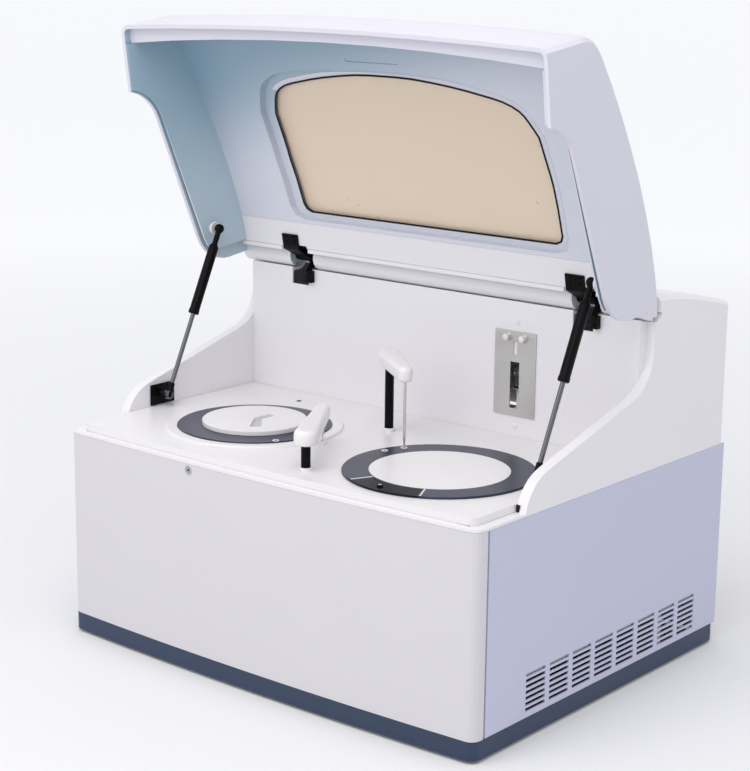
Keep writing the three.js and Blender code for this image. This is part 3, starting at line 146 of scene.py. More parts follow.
def node_group(name, kind, inputs, outputs):
    """A new group with its sockets, and the nodes where they come in and go out."""
    tree = bpy.data.node_groups.new(name, kind)
    for label, socket_kind, value in inputs:
        made = tree.interface.new_socket(name=label, in_out="INPUT", socket_type=socket_kind)
        if value is not None:
            made.default_value = value
    for label, socket_kind in outputs:
        tree.interface.new_socket(name=label, in_out="OUTPUT", socket_type=socket_kind)
    print("group:", name)
    return tree, node(tree, "NodeGroupInput"), node(tree, "NodeGroupOutput")


def shader_group(name, inputs, outputs):
    return node_group(name, "ShaderNodeTree", inputs, outputs)

# %% [markdown]
# Studio light for white goods is broad and soft, or the white clips and the edges vanish.
# A pale world fills every side, and two large soft lamps lift the front and the work top.
# The camera, mirrors and glass see a nearly white backdrop, but that never lights the object.

# %% World and lamps
scene = bpy.context.scene
scene.view_settings.view_transform = "Standard"
world_colour = (0.945, 0.955, 1.0, 1.0)
world_strength = 0.80
backdrop_colour = (0.965, 0.968, 0.975, 1.0)


def seen_directly(tree):
    """One for a ray from the camera, a mirror or through glass, and nought for any other."""
    path = node(tree, "ShaderNodeLightPath")
    either = maths(tree, "MAXIMUM", path.outputs["Is Camera Ray"], path.outputs["Is Glossy Ray"])
    return maths(tree, "MAXIMUM", either, path.outputs["Is Transmission Ray"])


world = bpy.data.worlds.new("studio")
scene.world = world
world.use_nodes = True
world_tree = world.node_tree
lighting = world_tree.nodes["Background"]
feed(world_tree, lighting.inputs["Color"], world_colour)
feed(world_tree, lighting.inputs["Strength"], world_strength)
backdrop = node(world_tree, "ShaderNodeBackground")
feed(world_tree, backdrop.inputs["Color"], backdrop_colour)
either_one = node(world_tree, "ShaderNodeMixShader")
for place, value in enumerate((seen_directly(world_tree), lighting.outputs[0], backdrop.outputs[0])):
    feed(world_tree, either_one.inputs[place], value)
feed(world_tree, world_tree.nodes["World Output"].inputs["Surface"], either_one.outputs[0])


def area_lamp(name, place, target, size, power, colour):
    data = bpy.data.lights.new(name, "AREA")
    data.shape = "RECTANGLE"
    data.size, data.size_y = size
    data.energy = power
    data.color = colour
    lamp = bpy.data.objects.new(name, data)
    scene.collection.objects.link(lamp)
    aim = (Vector(target) - Vector(place)).to_track_quat("-Z", "Y")
    lamp.matrix_world = Matrix.Translation(place) @ aim.to_matrix().to_4x4()


middle = (0.0, 0.0, 0.45)
area_lamp("front_softbox", (-0.6, -3.2, 2.3), middle, (2.6, 2.0), 16, (1.0, 0.97, 0.93))
area_lamp("top_softbox", (0.4, -1.5, 3.0), middle, (2.6, 2.2), 36, (1.0, 0.98, 0.95))

# %% [markdown]
# The object stands on a pale floor that runs into the backdrop without a line. The lamps reach
# only its middle. Further out it glows a little more, for the camera alone, so that it stays
# evenly pale right up to the top of the picture and casts no light on the object.

# %% Floor
floor_reach = 60.0
floor_colour = (0.79, 0.792, 0.797, 1.0)
lift_near, lift_far = 0.06, 0.31
lift_start, lift_end = 0.5, 4.5


def mesh_of(form, name):
    mesh = bpy.data.meshes.new(name)
    form.to_mesh(mesh)
    form.free()
    return mesh


def piece_from(mesh, name):
    piece = bpy.data.objects.new(name, mesh)
    scene.collection.objects.link(piece)
    return piece


def flat_sheet(name, reach):
    form = bmesh.new()
    corners = [form.verts.new((x * reach, y * reach, 0.0)) for x, y in ((-1, -1), (1, -1), (1, 1), (-1, 1))]
    form.faces.new(corners)
    return piece_from(mesh_of(form, name), name)


def floor_finish():
    material = bpy.data.materials.new("pale_floor")
    material.use_nodes = True
    tree = material.node_tree
    shader = tree.nodes["Principled BSDF"]
    distance = vector_maths(tree, "LENGTH", object_place(tree), result="Value")
    further = map_range(tree, distance, lift_near, lift_far, lift_start, lift_end)
    for label, value in (("Base Color", floor_colour), ("Roughness", 0.9),
                         ("Emission Color", (1.0, 1.0, 1.0, 1.0)),
                         ("Emission Strength", maths(tree, "MULTIPLY", seen_directly(tree), further))):
        feed(tree, shader.inputs[label], value)
    return material


floor = flat_sheet("floor", floor_reach)
floor.data.materials.append(floor_finish())
print("floor reaches", floor_reach, "m each way")

# %% [markdown]
# Real mouldings and powder coats are never one flat colour. Five effects are shared by the
# finishes, so each is a node group: fine grain, edge wear, settled dust, brush lines and a fade
# of painted shade. A group hands out only values, masks and normals. The shader stays in each material.

# %% Fine grain
# Height is the orange peel or spark texture, and Tone drifts slowly around 0.5.
grain_group, given, out = shader_group(
    "fine_grain", [("Scale", FLOAT, 900.0), ("Drift Scale", FLOAT, 6.0)],
    [("Height", FLOAT), ("Tone", FLOAT)])
place = object_place(grain_group)
feed(grain_group, out.inputs["Height"], noise(grain_group, place, given.outputs["Scale"], 3.0, 0.6))
feed(grain_group, out.inputs["Tone"], noise(grain_group, place, given.outputs["Drift Scale"], 4.0, 0.55))

# %% Edge wear
# A rounded normal that differs from the true one marks an edge. Noise breaks the line up.
wear_group, given, out = shader_group(
    "edge_wear", [("Radius", FLOAT, 0.0012), ("Gain", FLOAT, 4.0)],
    [("Mask", FLOAT), ("Soft Normal", VECTOR)])
rounded = node(wear_group, "ShaderNodeBevel", samples=6)
feed(wear_group, rounded.inputs["Radius"], given.outputs["Radius"])
surface = node(wear_group, "ShaderNodeNewGeometry")
agreement = vector_maths(wear_group, "DOT_PRODUCT", rounded.outputs["Normal"],
                         surface.outputs["Normal"], "Value")
turned_away = maths(wear_group, "SUBTRACT", 1.0, agreement)
broken = noise(wear_group, object_place(wear_group), 55.0, 5.0, 0.65)
edge_line = maths(wear_group, "MULTIPLY", turned_away, given.outputs["Gain"])
feed(wear_group, out.inputs["Mask"], maths(wear_group, "MULTIPLY", edge_line, broken, clamp=True))
feed(wear_group, out.inputs["Soft Normal"], rounded.outputs["Normal"])

# %% Settled dust
# Dust lies only on faces that look up, thickest where a slow noise says so.
dust_group, given, out = shader_group("settled_dust", [("Amount", FLOAT, 0.2)], [("Mask", FLOAT)])
axes = node(dust_group, "ShaderNodeSeparateXYZ")
feed(dust_group, axes.inputs[0], node(dust_group, "ShaderNodeNewGeometry").outputs["Normal"])
looks_up = maths(dust_group, "POWER", maths(dust_group, "MAXIMUM", axes.outputs["Z"], 0.0), 3.0)
patches = noise(dust_group, object_place(dust_group), 14.0, 6.0, 0.7)
settled = maths(dust_group, "MULTIPLY", looks_up, patches)
feed(dust_group, out.inputs["Mask"],
     maths(dust_group, "MULTIPLY", settled, given.outputs["Amount"], clamp=True))

# %% Brush lines
# Long fine streaks: the noise is squeezed across one direction and stretched along the other.
brush_group, given, out = shader_group(
    "brush_lines", [("Stretch", VECTOR, (40.0, 900.0, 900.0))], [("Height", FLOAT)])
stretched = vector_maths(brush_group, "MULTIPLY", object_place(brush_group), given.outputs["Stretch"])
feed(brush_group, out.inputs["Height"], noise(brush_group, stretched, 1.0, 4.0, 0.7))

# %% Painted shade along a direction
# A mask that runs from nought to one along an axis of the piece, for a painted shade that deepens.
fade_group, given, out = shader_group(
    "painted_shade_fade", [("Axis", VECTOR, (0.0, 0.0, 1.0)), ("Start", FLOAT, 0.0), ("End", FLOAT, 1.0)],
    [("Mask", FLOAT)])
along = vector_maths(fade_group, "DOT_PRODUCT", object_place(fade_group), given.outputs["Axis"], "Value")
feed(fade_group, out.inputs["Mask"],
     map_range(fade_group, along, 0.0, 1.0, given.outputs["Start"], given.outputs["End"], "SMOOTHSTEP"))

# %% [markdown]
# Each finish is one material. The opaque ones share a recipe: the base colour drifts a little
# lighter and darker, worn edges and dust are mixed over it, grain goes to the bump, and the
# roughness follows the drift. What makes a powder coat or a rubber is the values it is given.

# %% The recipe for opaque finishes
def srgb(red, green, blue):
    def linear(value):
        share = value / 255
        if share <= 0.04045:
            return share / 12.92
        return ((share + 0.055) / 1.055) ** 2.4
    return (linear(red), linear(green), linear(blue), 1.0)


dust_colour = srgb(205, 203, 198)


def placed_group(tree, group, **values):
    made = node(tree, "ShaderNodeGroup", node_tree=group)
    for key, value in values.items():
        made.inputs[key.replace("_", " ")].default_value = value
    return made


def mixed(tree, factor, first, second):
    made = node(tree, "ShaderNodeMix", data_type="RGBA")
    for place, value in ((0, factor), (6, first), (7, second)):
        feed(tree, made.inputs[place], value)
    return made.outputs[2]


def shade(colour, factor):
    return (*[min(1.0, part * factor) for part in colour[:3]], 1.0)


def opaque(name, colour, roughness, grain, depth, spread=0.03, worn=None, wear=0.8, dust=0.0,
           metallic=0.0, coat=0.0, edge=0.0008, brushed=None, gloss=0.5, fade=None):
    """Grain is the texture's scale and depth its height in metres. Fade is a painted shade: a colour and an
    axis.
    """
    material = bpy.data.materials.new(name)
    material.use_nodes = True
    tree = material.node_tree
    shader = tree.nodes["Principled BSDF"]
    texture = placed_group(tree, grain_group, Scale=grain)
    edges = placed_group(tree, wear_group, Radius=edge, Gain=wear)
    shown = mixed(tree, texture.outputs["Tone"], shade(colour, 1 - spread), shade(colour, 1 + spread))
    # On the liner the fade is painted shade: the colour deepens along an axis where the open lid is shaded.
    if fade:
        shown = mixed(tree, placed_group(tree, fade_group, **fade[1]).outputs["Mask"], shown, fade[0])
    shown = mixed(tree, edges.outputs["Mask"], shown, worn or shade(colour, 1.25))
    if dust:
        shown = mixed(tree, placed_group(tree, dust_group, Amount=dust).outputs["Mask"], shown, dust_colour)
    height, drift = texture.outputs["Height"], texture.outputs["Tone"]
    if brushed:
        height = drift = placed_group(tree, brush_group, Stretch=brushed).outputs["Height"]
    bump = node(tree, "ShaderNodeBump")
    for label, value in (("Strength", 0.35), ("Distance", depth), ("Height", height),
                         ("Normal", edges.outputs["Soft Normal"])):
        feed(tree, bump.inputs[label], value)
    for label, value in (("Base Color", shown), ("Metallic", metallic), ("Coat Weight", coat),
                         ("Roughness", map_range(tree, drift, roughness * 0.85, roughness * 1.15)),
                         ("Coat Roughness", 0.08), ("Specular IOR Level", gloss),
                         ("Normal", bump.outputs["Normal"])):
        feed(tree, shader.inputs[label], value)
    return material

# %% [markdown]
# The casing is satin white with a trace of lavender. Its sheet metal covers are powder coated,
# which leaves a fine orange peel, and the big mouldings have a slightly finer spark texture.
# The lid's liner is a paler blue grey, with painted shade deepening it towards its front edge and
# on its side walls, and the disc rims and plinth are navy.

# %% Casing finishes
# The liner deepens to a darker blue grey towards the open lid's front edge and on its side walls. Both
# deeper tones are painted shade for the inside of the open lid.
liner_shade_axis = {"Axis": (-0.30, -0.30, 0.90), "Start": 0.76, "End": 0.99}
finishes = {
    "cover_paint": opaque("cover_paint", srgb(217, 214, 219), 0.42, 1100, 0.00012, 0.012, dust=0.04),
    "side_paint": opaque("side_paint", srgb(200, 202, 224), 0.44, 1100, 0.00012, 0.015),
    "housing_plastic": opaque("housing_plastic", srgb(238, 236, 240), 0.38, 1500, 0.00008, 0.012, dust=0.04),
    "lid_paint": opaque("lid_paint", srgb(222, 221, 232), 0.40, 1500, 0.00008, 0.012, dust=0.04),
    "liner_plastic": opaque("liner_plastic", srgb(220, 222, 233), 0.40, 1300, 0.00008, 0.02,
                            fade=(srgb(146, 174, 192), liner_shade_axis)),
    "liner_shaded_sides": opaque("liner_shaded_sides", srgb(186, 205, 217), 0.42, 1300, 0.00008, 0.03,
                          fade=(srgb(162, 190, 206), liner_shade_axis)),
    "navy_plastic": opaque("navy_plastic", srgb(24, 33, 60), 0.30, 1200, 0.00010, 0.06, dust=0.01,
                           gloss=0.45),
    "navy_paint": opaque("navy_paint", srgb(38, 56, 84), 0.42, 1000, 0.00014, 0.05, dust=0.05),
    "white_plastic": opaque("white_plastic", srgb(237, 235, 236), 0.30, 1500, 0.00005, 0.01),
    "grey_plastic": opaque("grey_plastic", srgb(196, 196, 200), 0.36, 1500, 0.00006, 0.02),
}
print("casing finishes:", sorted(finishes))

# %% [markdown]
# The dark parts are moulded plastic, painted steel and rubber. None is pure black, and their
# highlights are kept low, because a strong one turns black into grey. The metals differ in their
# lines: steel is brushed along the probe, and the strut rods are chromed smooth.

# %% Dark and metal finishes
finishes.update({
    "black_plastic": opaque("black_plastic", srgb(8, 8, 9), 0.46, 1400, 0.00010, 0.15,
                            worn=srgb(24, 24, 27), gloss=0.10),
    "black_steel": opaque("black_steel", srgb(6, 6, 7), 0.42, 900, 0.00006, 0.2,
                          worn=srgb(28, 28, 31), gloss=0.10),
    "gloss_black": opaque("gloss_black", srgb(7, 7, 9), 0.34, 900, 0.00003, 0.1, gloss=0.12),
    "brushed_steel": opaque("brushed_steel", srgb(206, 205, 203), 0.30, 800, 0.00006, 0.05, metallic=1.0,
                            brushed=(60.0, 60.0, 2600.0)),
    "strut_chrome": opaque("strut_chrome", srgb(104, 105, 110), 0.18, 800, 0.00002, 0.05, metallic=1.0),
    "aluminium": opaque("aluminium", srgb(176, 179, 183), 0.42, 700, 0.00008, 0.06, metallic=1.0,
                        brushed=(1800.0, 60.0, 60.0)),
    "rubber": opaque("rubber", srgb(16, 16, 18), 0.7, 600, 0.00016, 0.2, worn=srgb(40, 40, 42), gloss=0.3),
    "smoked_lens": opaque("smoked_lens", srgb(160, 162, 168), 0.15, 900, 0.00002, 0.08, coat=0.8),
    "board_green": opaque("board_green", srgb(38, 104, 66), 0.45, 500, 0.00010, 0.12,
                          worn=srgb(150, 160, 90)),
    "reagent_amber": opaque("reagent_amber", srgb(120, 62, 24), 0.22, 700, 0.00004, 0.08, coat=0.4),
})
print("finishes:", len(finishes))

# %% [markdown]
# The window is a milky tan acrylic pane, so only part of the light passes straight through it,
# and the syringe barrel is clear. Both have a plain transmission weight. Faint streaks in the
# roughness keep the pane from looking like empty air.

# %% Clear finishes
def clear(name, colour, roughness, ior, streak, through):
    material = bpy.data.materials.new(name)
    material.use_nodes = True
    tree = material.node_tree
    shader = tree.nodes["Principled BSDF"]
    texture = placed_group(tree, grain_group, Scale=35.0, Drift_Scale=3.0)
    tint = mixed(tree, texture.outputs["Tone"], shade(colour, 0.97), shade(colour, 1.03))
    rough = map_range(tree, texture.outputs["Height"], roughness, roughness + streak)
    for label, value in (("Base Color", tint), ("Roughness", rough), ("IOR", ior),
                         ("Transmission Weight", through)):
        feed(tree, shader.inputs[label], value)
    return material


finishes["tinted_pane"] = clear("tinted_pane", srgb(246, 230, 210), 0.26, 1.2, 0.05, 0.35)
finishes["clear_plastic"] = clear("clear_plastic", srgb(236, 240, 242), 0.04, 1.3, 0.03, 1.0)
print("clear finishes:", "tinted_pane, clear_plastic")

# %% [markdown]
# The CAD model's curved covers are made of flat triangles. A copy of each is merged, its flat
# faces are joined, and only edges sharper than a chosen angle stay sharp, so round noses and
# bowed panels shade as one surface. The copy then stands for its CAD node on the same body.

# %% Which finish each CAD node takes
smooth_angle = math.radians(40)
flat_angle = math.radians(0.2)
weld = 0.02 * MM
slot_nodes = {
    "cover_paint": ["front_panel", "side_panel_left", "side_panel_right", "rear_panel"],
    "housing_plastic": ["upper_housing", "lid_shell"],
    "liner_plastic": ["lid_liner"],
    "navy_plastic": ["sample_cover", "reaction_cover"],
    "navy_paint": ["base_plinth"],
    "white_plastic": ["deck_plate", "sample_cap", "reaction_centre_cover", "reagent_arm_cover",
                      "sample_arm_cover", "sample_carousel", "reaction_carousel", "syringe_plunger"],
    "black_plastic": ["sample_bowl", "reaction_bath", "power_inlet", "power_rocker", "fan_rotor",
                      "access_flap", "photometer", "strut_bracket_left", "strut_bracket_right"],
    "black_steel": ["reagent_arm_post", "sample_arm_post", "hinge_arm_left", "hinge_arm_right",
                    "hinge_bracket_left", "hinge_bracket_right"],
    "brushed_steel": ["reagent_probe", "sample_probe", "strut_rod_left", "strut_rod_right",
                      "syringe_plate"],
    "aluminium": ["chassis_frame", "power_supply", "pump_unit", "sample_motor", "reaction_motor",
                  "reagent_lift_carriage", "sample_lift_carriage", "sample_drive_pulley",
                  "reaction_drive_pulley"],
    "rubber": ["foot_front_left", "foot_front_right", "foot_rear_left", "foot_rear_right",
               "sample_belt", "reaction_belt", "window_gasket"],
    "smoked_lens": ["indicator_lamp"],
    "board_green": ["control_board"],
    "tinted_pane": ["window_pane"],
    "clear_plastic": ["syringe_barrel"],
}
special_finish = {
    "lid_shell": "lid_paint",
    "side_panel_left": "side_paint", "side_panel_right": "side_paint",
    "strut_rod_left": "strut_chrome", "strut_rod_right": "strut_chrome",
    "access_flap": "gloss_black",
}
node_body = {}
for body, members in frame["record"]["behaviour"]["bodies"].items():
    for member in members:
        node_body[member] = body
print("nodes with a finish:", sum(len(members) for members in slot_nodes.values()))

# %% Smooth copies of the CAD nodes
def merged_form(cad_node):
    """The node's faces in a form of its own, with doubled corners welded and flat faces joined."""
    form = bmesh.new()
    form.from_mesh(frame["nodes"][cad_node].data)
    bmesh.ops.remove_doubles(form, verts=form.verts, dist=weld)
    bmesh.ops.dissolve_limit(form, angle_limit=flat_angle, verts=form.verts, edges=form.edges)
    return form


def shaded(mesh):
    mesh.shade_smooth()
    mesh.set_sharp_from_angle(angle=smooth_angle)
    return mesh


def weighted(piece):
    made = piece.modifiers.new("weighted", "WEIGHTED_NORMAL")
    made.keep_sharp = True
    made.weight = 100


def settled_on(piece, body, finish=None):
    """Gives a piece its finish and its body. A grown piece has its finish already."""
    if finish:
        piece.data.materials.clear()
        piece.data.materials.append(finishes[finish])
    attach(piece, body)
    return piece

# %% [markdown]
# On the big bowed mouldings that isn't enough. Their facets are long, and a window or an arch
# cuts corners into the middle of one, so the shading kinks there. Their normals are averaged
# over all the skin within a few centimetres that faces about the same way, wherever its corners lie.

# %% Even normals for the bowed mouldings
skin_step = 9 * MM
skin_reach = 26 * MM
skin_agree = math.cos(math.radians(28))
most_steps = 60
bowed_nodes = ["lid_shell", "lid_liner", "upper_housing", "front_panel", "window_pane"]


def skin_samples(mesh):
    """Points spread over the mesh's triangles, each with its face's normal and its share of area."""
    mesh.calc_loop_triangles()
    places, normals, shares = [], [], []
    for triangle in mesh.loop_triangles:
        a, b, c = (np.array(mesh.vertices[v].co) for v in triangle.vertices)
        steps = max(1, int(math.ceil(max(np.linalg.norm(b - a), np.linalg.norm(c - a)) / skin_step)))
        ticks = (np.arange(min(steps, most_steps)) + 1 / 3) / min(steps, most_steps)
        u, v = (axis.ravel() for axis in np.meshgrid(ticks, ticks))
        kept = u + v < 1
        u, v = u[kept], v[kept]
        places.append(a + np.outer(u, b - a) + np.outer(v, c - a))
        normals.append(np.tile(np.array(triangle.normal), (len(u), 1)))
        shares.append(np.full(len(u), triangle.area / max(1, len(u))))
    return np.concatenate(places), np.concatenate(normals), np.concatenate(shares)


def even_normals(mesh):
    """Gives each corner the mean normal of the skin around it that faces about its own way."""
    places, normals, shares = skin_samples(mesh)
    weighted_normals = normals * shares[:, None]
    finder = KDTree(len(places))
    for index, place in enumerate(places):
        finder.insert(place, index)
    finder.balance()
    found = {}
    custom = []
    for face in mesh.polygons:
        facing = np.array(face.normal)
        for corner in face.loop_indices:
            vertex = mesh.loops[corner].vertex_index
            key = (vertex, *np.round(facing, 2))
            if key not in found:
                near = [index for _, index, _ in finder.find_range(mesh.vertices[vertex].co, skin_reach)]
                agreeing = normals[near] @ facing > skin_agree
                total = weighted_normals[near][agreeing].sum(axis=0) + 1e-9 * facing
                found[key] = total / np.linalg.norm(total)
            custom.append(tuple(found[key]))
    mesh.normals_split_custom_set(custom)
    print(mesh.name, "has", len(found), "even normals")

# %% [markdown]
# Each CAD node now gets its smooth copy and its finish. The bowed mouldings take the even
# normals, and the other pieces weight their normals by the size of the faces.

# %% Dressing the CAD nodes
def search_tree(cad_node):
    """The node's faces, ready for rays and nearest points. Each node is read only once."""
    if cad_node not in search_trees:
        mesh = frame["nodes"][cad_node].data
        search_trees[cad_node] = BVHTree.FromPolygons(
            [v.co.copy() for v in mesh.vertices], [tuple(p.vertices) for p in mesh.polygons])
    return search_trees[cad_node]


def dress(member, slot_name):
    finish = special_finish.get(member, slot_name)
    name = member + "_smooth"
    mesh = shaded(mesh_of(merged_form(member), name))
    if member in bowed_nodes:
        even_normals(mesh)
    piece = piece_from(mesh, name)
    if member not in bowed_nodes:
        weighted(piece)
    settled_on(piece, node_body[member], finish)
    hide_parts(member)
    frame["nodes"][member].data.materials.clear()
    frame["nodes"][member].data.materials.append(finishes[finish])
    return piece


search_trees = {}
smooth_pieces = {}
for slot_name, members in slot_nodes.items():
    for member in members:
        smooth_pieces[member] = dress(member, slot_name)
print("smooth pieces:", len(smooth_pieces))

# %% [markdown]
# A few faces look different from the rest of their piece. The window's flange belongs to the
# outer moulding but is finished like the liner, the strip above the hinges is white, the
# liner's side walls carry painted shade as a deeper blue grey, and the recess in the sample cap is grey.

# %% Faces with another finish than their piece
strip_front, strip_top = 50 * MM, 705 * MM
flange_reach = 9 * MM
side_wall_start, side_wall_end = 0.3, 424 * MM
cap_middle = Vector((-183.2, -146.2)) * MM
recess_level, recess_reach = 382.5 * MM, 60 * MM


def paint_faces(cad_node, finish, chosen):
    mesh = smooth_pieces[cad_node].data
    mesh.materials.append(finishes[finish])
    last = len(mesh.materials) - 1
    count = 0
    for face in mesh.polygons:
        if chosen(face):
            face.material_index = last
            count += 1
    print(cad_node, "has", count, "faces in", finish)


def on_front_strip(face):
    return face.center.y > strip_front and face.center.z < strip_top and face.normal.y < -0.3


def on_flange(face):
    gap = search_tree("window_gasket").find_nearest(face.center)[3]
    return gap is not None and gap < flange_reach


def inside_side_wall(face):
    return face.normal.x * face.center.x < -0.2 and side_wall_start < abs(face.center.x) < side_wall_end


def liner_side(face):
    return abs(face.normal.x) > 0.6 and abs(face.center.x) > side_wall_start


def in_recess(face):
    away = (face.center.xy - cap_middle).length
    return face.center.z < recess_level and face.normal.z > 0.5 and away < recess_reach


paint_faces("lid_shell", "housing_plastic", on_front_strip)
paint_faces("lid_shell", "liner_plastic", on_flange)
# The side walls inside the lid get a darker copy of the liner's finish: painted shade.
paint_faces("lid_shell", "liner_shaded_sides", inside_side_wall)
paint_faces("lid_liner", "liner_shaded_sides", liner_side)
paint_faces("sample_cap", "grey_plastic", in_recess)

# %% [markdown]
# Small fasteners are put down by asking the CAD where its surface is. A ray is sent at a node,
# and where it lands gives the place and the direction that the screw's head must face.

# %% Finding a place on a CAD surface
def landing(cad_node, start, direction):
    place, normal, _, _ = search_tree(cad_node).ray_cast(Vector(start), Vector(direction))
    if place is None:
        raise ValueError(f"no surface of {cad_node} on the way from {tuple(start)}")
    return place, normal


print("deck top:", round(landing("deck_plate", (0, -0.05, 1), (0, 0, -1))[0].z, 4))

# %% [markdown]
# Screws repeat, so Geometry Nodes make them. One head with a hexagon socket is set on every
# point of a small cloud, turned to the direction stored with the point. The tree ends with real
# faces and a material, because instances don't survive the export.

# %% A tree for screws
def geometry_group(name, inputs):
    return node_group(name, "GeometryNodeTree", [("Geometry", GEOMETRY, None)] + inputs,
                      [("Geometry", GEOMETRY)])


def finish_tree(tree, geometry, given, out):
    """Ends a tree with real faces and with the material that it was given."""
    real = node(tree, "GeometryNodeRealizeInstances")
    feed(tree, real.inputs[0], geometry)
    painted = node(tree, "GeometryNodeSetMaterial")
    feed(tree, painted.inputs["Geometry"], real.outputs[0])
    feed(tree, painted.inputs["Material"], given.outputs["Material"])
    feed(tree, out.inputs[0], painted.outputs[0])


def stored_vector(tree, name):
    stored = node(tree, "GeometryNodeInputNamedAttribute", data_type="FLOAT_VECTOR")
    feed(tree, stored.inputs["Name"], name)
    return stored.outputs["Attribute"]


def set_on_points(tree, points, instance, rotation):
    made = node(tree, "GeometryNodeInstanceOnPoints")
    for label, value in (("Points", points), ("Instance", instance), ("Rotation", rotation)):
        feed(tree, made.inputs[label], value)
    return made.outputs["Instances"]


screw_tree, given, out = geometry_group("socket_screws", [
    ("Head Radius", FLOAT, 3.0 * MM),
    ("Head Height", FLOAT, 1.6 * MM),
    ("Socket Radius", FLOAT, 1.5 * MM),
    ("Material", "NodeSocketMaterial", None),
])
crown_share = 0.86
sink_share = 0.9
height, width = given.outputs["Head Height"], given.outputs["Head Radius"]
head = node(screw_tree, "GeometryNodeMeshCone")
for label, value in (("Vertices", 20), ("Depth", height), ("Radius Bottom", width),
                     ("Radius Top", maths(screw_tree, "MULTIPLY", width, crown_share))):
    feed(screw_tree, head.inputs[label], value)
hexagon = node(screw_tree, "GeometryNodeMeshCylinder")
for label, value in (("Vertices", 6), ("Radius", given.outputs["Socket Radius"]), ("Depth", height)):
    feed(screw_tree, hexagon.inputs[label], value)
sunk = node(screw_tree, "ShaderNodeCombineXYZ")
feed(screw_tree, sunk.inputs["Z"], maths(screw_tree, "MULTIPLY", height, sink_share))
lowered = node(screw_tree, "GeometryNodeTransform")
feed(screw_tree, lowered.inputs["Geometry"], hexagon.outputs["Mesh"])
feed(screw_tree, lowered.inputs["Translation"], sunk.outputs[0])
socketed = node(screw_tree, "GeometryNodeMeshBoolean", operation="DIFFERENCE")
feed(screw_tree, socketed.inputs["Mesh 1"], head.outputs["Mesh"])
feed(screw_tree, socketed.inputs["Mesh 2"], lowered.outputs["Geometry"])
faced = node(screw_tree, "FunctionNodeAlignRotationToVector", axis="Z")
feed(screw_tree, faced.inputs["Vector"], stored_vector(screw_tree, "facing"))
finish_tree(screw_tree, set_on_points(screw_tree, given.outputs["Geometry"], socketed.outputs["Mesh"],
                                      faced.outputs["Rotation"]), given, out)

# %% Growing a piece from a tree
def cloud(places, label):
    """Points with a vector stored under a label: the way a screw faces, or a vessel's spin."""
    mesh = bpy.data.meshes.new("cloud")
    mesh.from_pydata([tuple(place) for place, _ in places], [], [])
    stored = mesh.attributes.new(label, "FLOAT_VECTOR", "POINT")
    for index, (_, vector) in enumerate(places):
        stored.data[index].vector = vector
    return mesh


def grown(name, tree, mesh, body, slot_name, finish=None, **values):
    seed = piece_from(mesh, name + "_seed")
    modifier = seed.modifiers.new("tree", "NODES")
    modifier.node_group = tree
    wanted = {key.replace("_", " "): value for key, value in values.items()}
    wanted["Material"] = finishes[finish or slot_name]
    for item in tree.interface.items_tree:
        if item.item_type == "SOCKET" and item.in_out == "INPUT" and item.name in wanted:
            modifier[item.identifier] = wanted[item.name]
    seed.update_tag()
    ready = seed.evaluated_get(bpy.context.evaluated_depsgraph_get())
    result = bpy.data.meshes.new_from_object(ready)
    bpy.data.objects.remove(seed)
    result.name = name
    result.set_sharp_from_angle(angle=smooth_angle)
    print(name, len(result.polygons), "faces")
    return settled_on(piece_from(result, name), body)


def screws(name, cad_node, starts, direction, body, slot_name, size):
    """Screws where the rays land. A size is the head's radius and height and the socket's radius."""
    radius, height, hole = size
    spots = [landing(cad_node, start, direction) for start in starts]
    grown(name, screw_tree, cloud(spots, "facing"), body, slot_name, Head_Radius=radius * MM,
          Head_Height=height * MM, Socket_Radius=hole * MM)

# %% Screws on the lid's hinges and struts
in_front, behind = -0.5, 1.0
hinge_screw, bracket_screw = (2.6, 1.2, 1.3), (2.8, 1.3, 1.4)
leaf_pitch, leaf_drops = 9 * MM, (5, 14)
foot_inset, foot_rises = 5.5 * MM, (5, 16)
bracket_inset = 7 * MM

for side, sign in (("left", -1), ("right", 1)):
    low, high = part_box("hinge_arm_" + side)
    centre = (low.x + high.x) / 2
    screws(f"hinge_leaf_screws_{side}", "hinge_arm_" + side,
           [(centre + across * leaf_pitch, in_front, high.z - drop * MM)
            for across in (-1, 1) for drop in leaf_drops],
           (0, 1, 0), "lid", "black_steel", hinge_screw)
    low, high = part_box("hinge_bracket_" + side)
    screws(f"hinge_foot_screws_{side}", "hinge_bracket_" + side,
           [(high.x - foot_inset, in_front, low.z + rise * MM) for rise in foot_rises],
           (0, 1, 0), "cabinet", "black_steel", hinge_screw)
    low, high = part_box("strut_bracket_" + side)
    screws(f"strut_plate_screws_{side}", "strut_bracket_" + side,
           [(0, y, (low.z + high.z) / 2) for y in (low.y + bracket_inset, high.y - bracket_inset)],
           (sign, 0, 0), "cabinet", "black_steel", bracket_screw)

# %% Screws on the rear and on the syringe plate
rear_screw, plate_screw = (3.4, 1.8, 1.6), (2.4, 1.0, 1.2)
low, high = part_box("rear_panel")
rear_inset = 12 * MM
rear_columns = 6
rear_starts = []
for column in range(rear_columns):
    x = low.x + rear_inset + (high.x - low.x - 2 * rear_inset) * column / (rear_columns - 1)
    rear_starts += [(x, behind, low.z + rear_inset), (x, behind, high.z - rear_inset)]
rear_starts += [(x, behind, (low.z + high.z) / 2) for x in (low.x + rear_inset, high.x - rear_inset)]
screws("rear_panel_screws", "rear_panel", rear_starts, (0, -1, 0), "cabinet", "brushed_steel", rear_screw)

low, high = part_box("syringe_plate")
plate_inset = 8 * MM
screws("syringe_plate_screws", "syringe_plate",
       [(x, in_front, z) for x in (low.x + plate_inset, high.x - plate_inset)
        for z in (low.z + plate_inset, high.z - plate_inset)],
       (0, 1, 0), "cabinet", "brushed_steel", plate_screw)

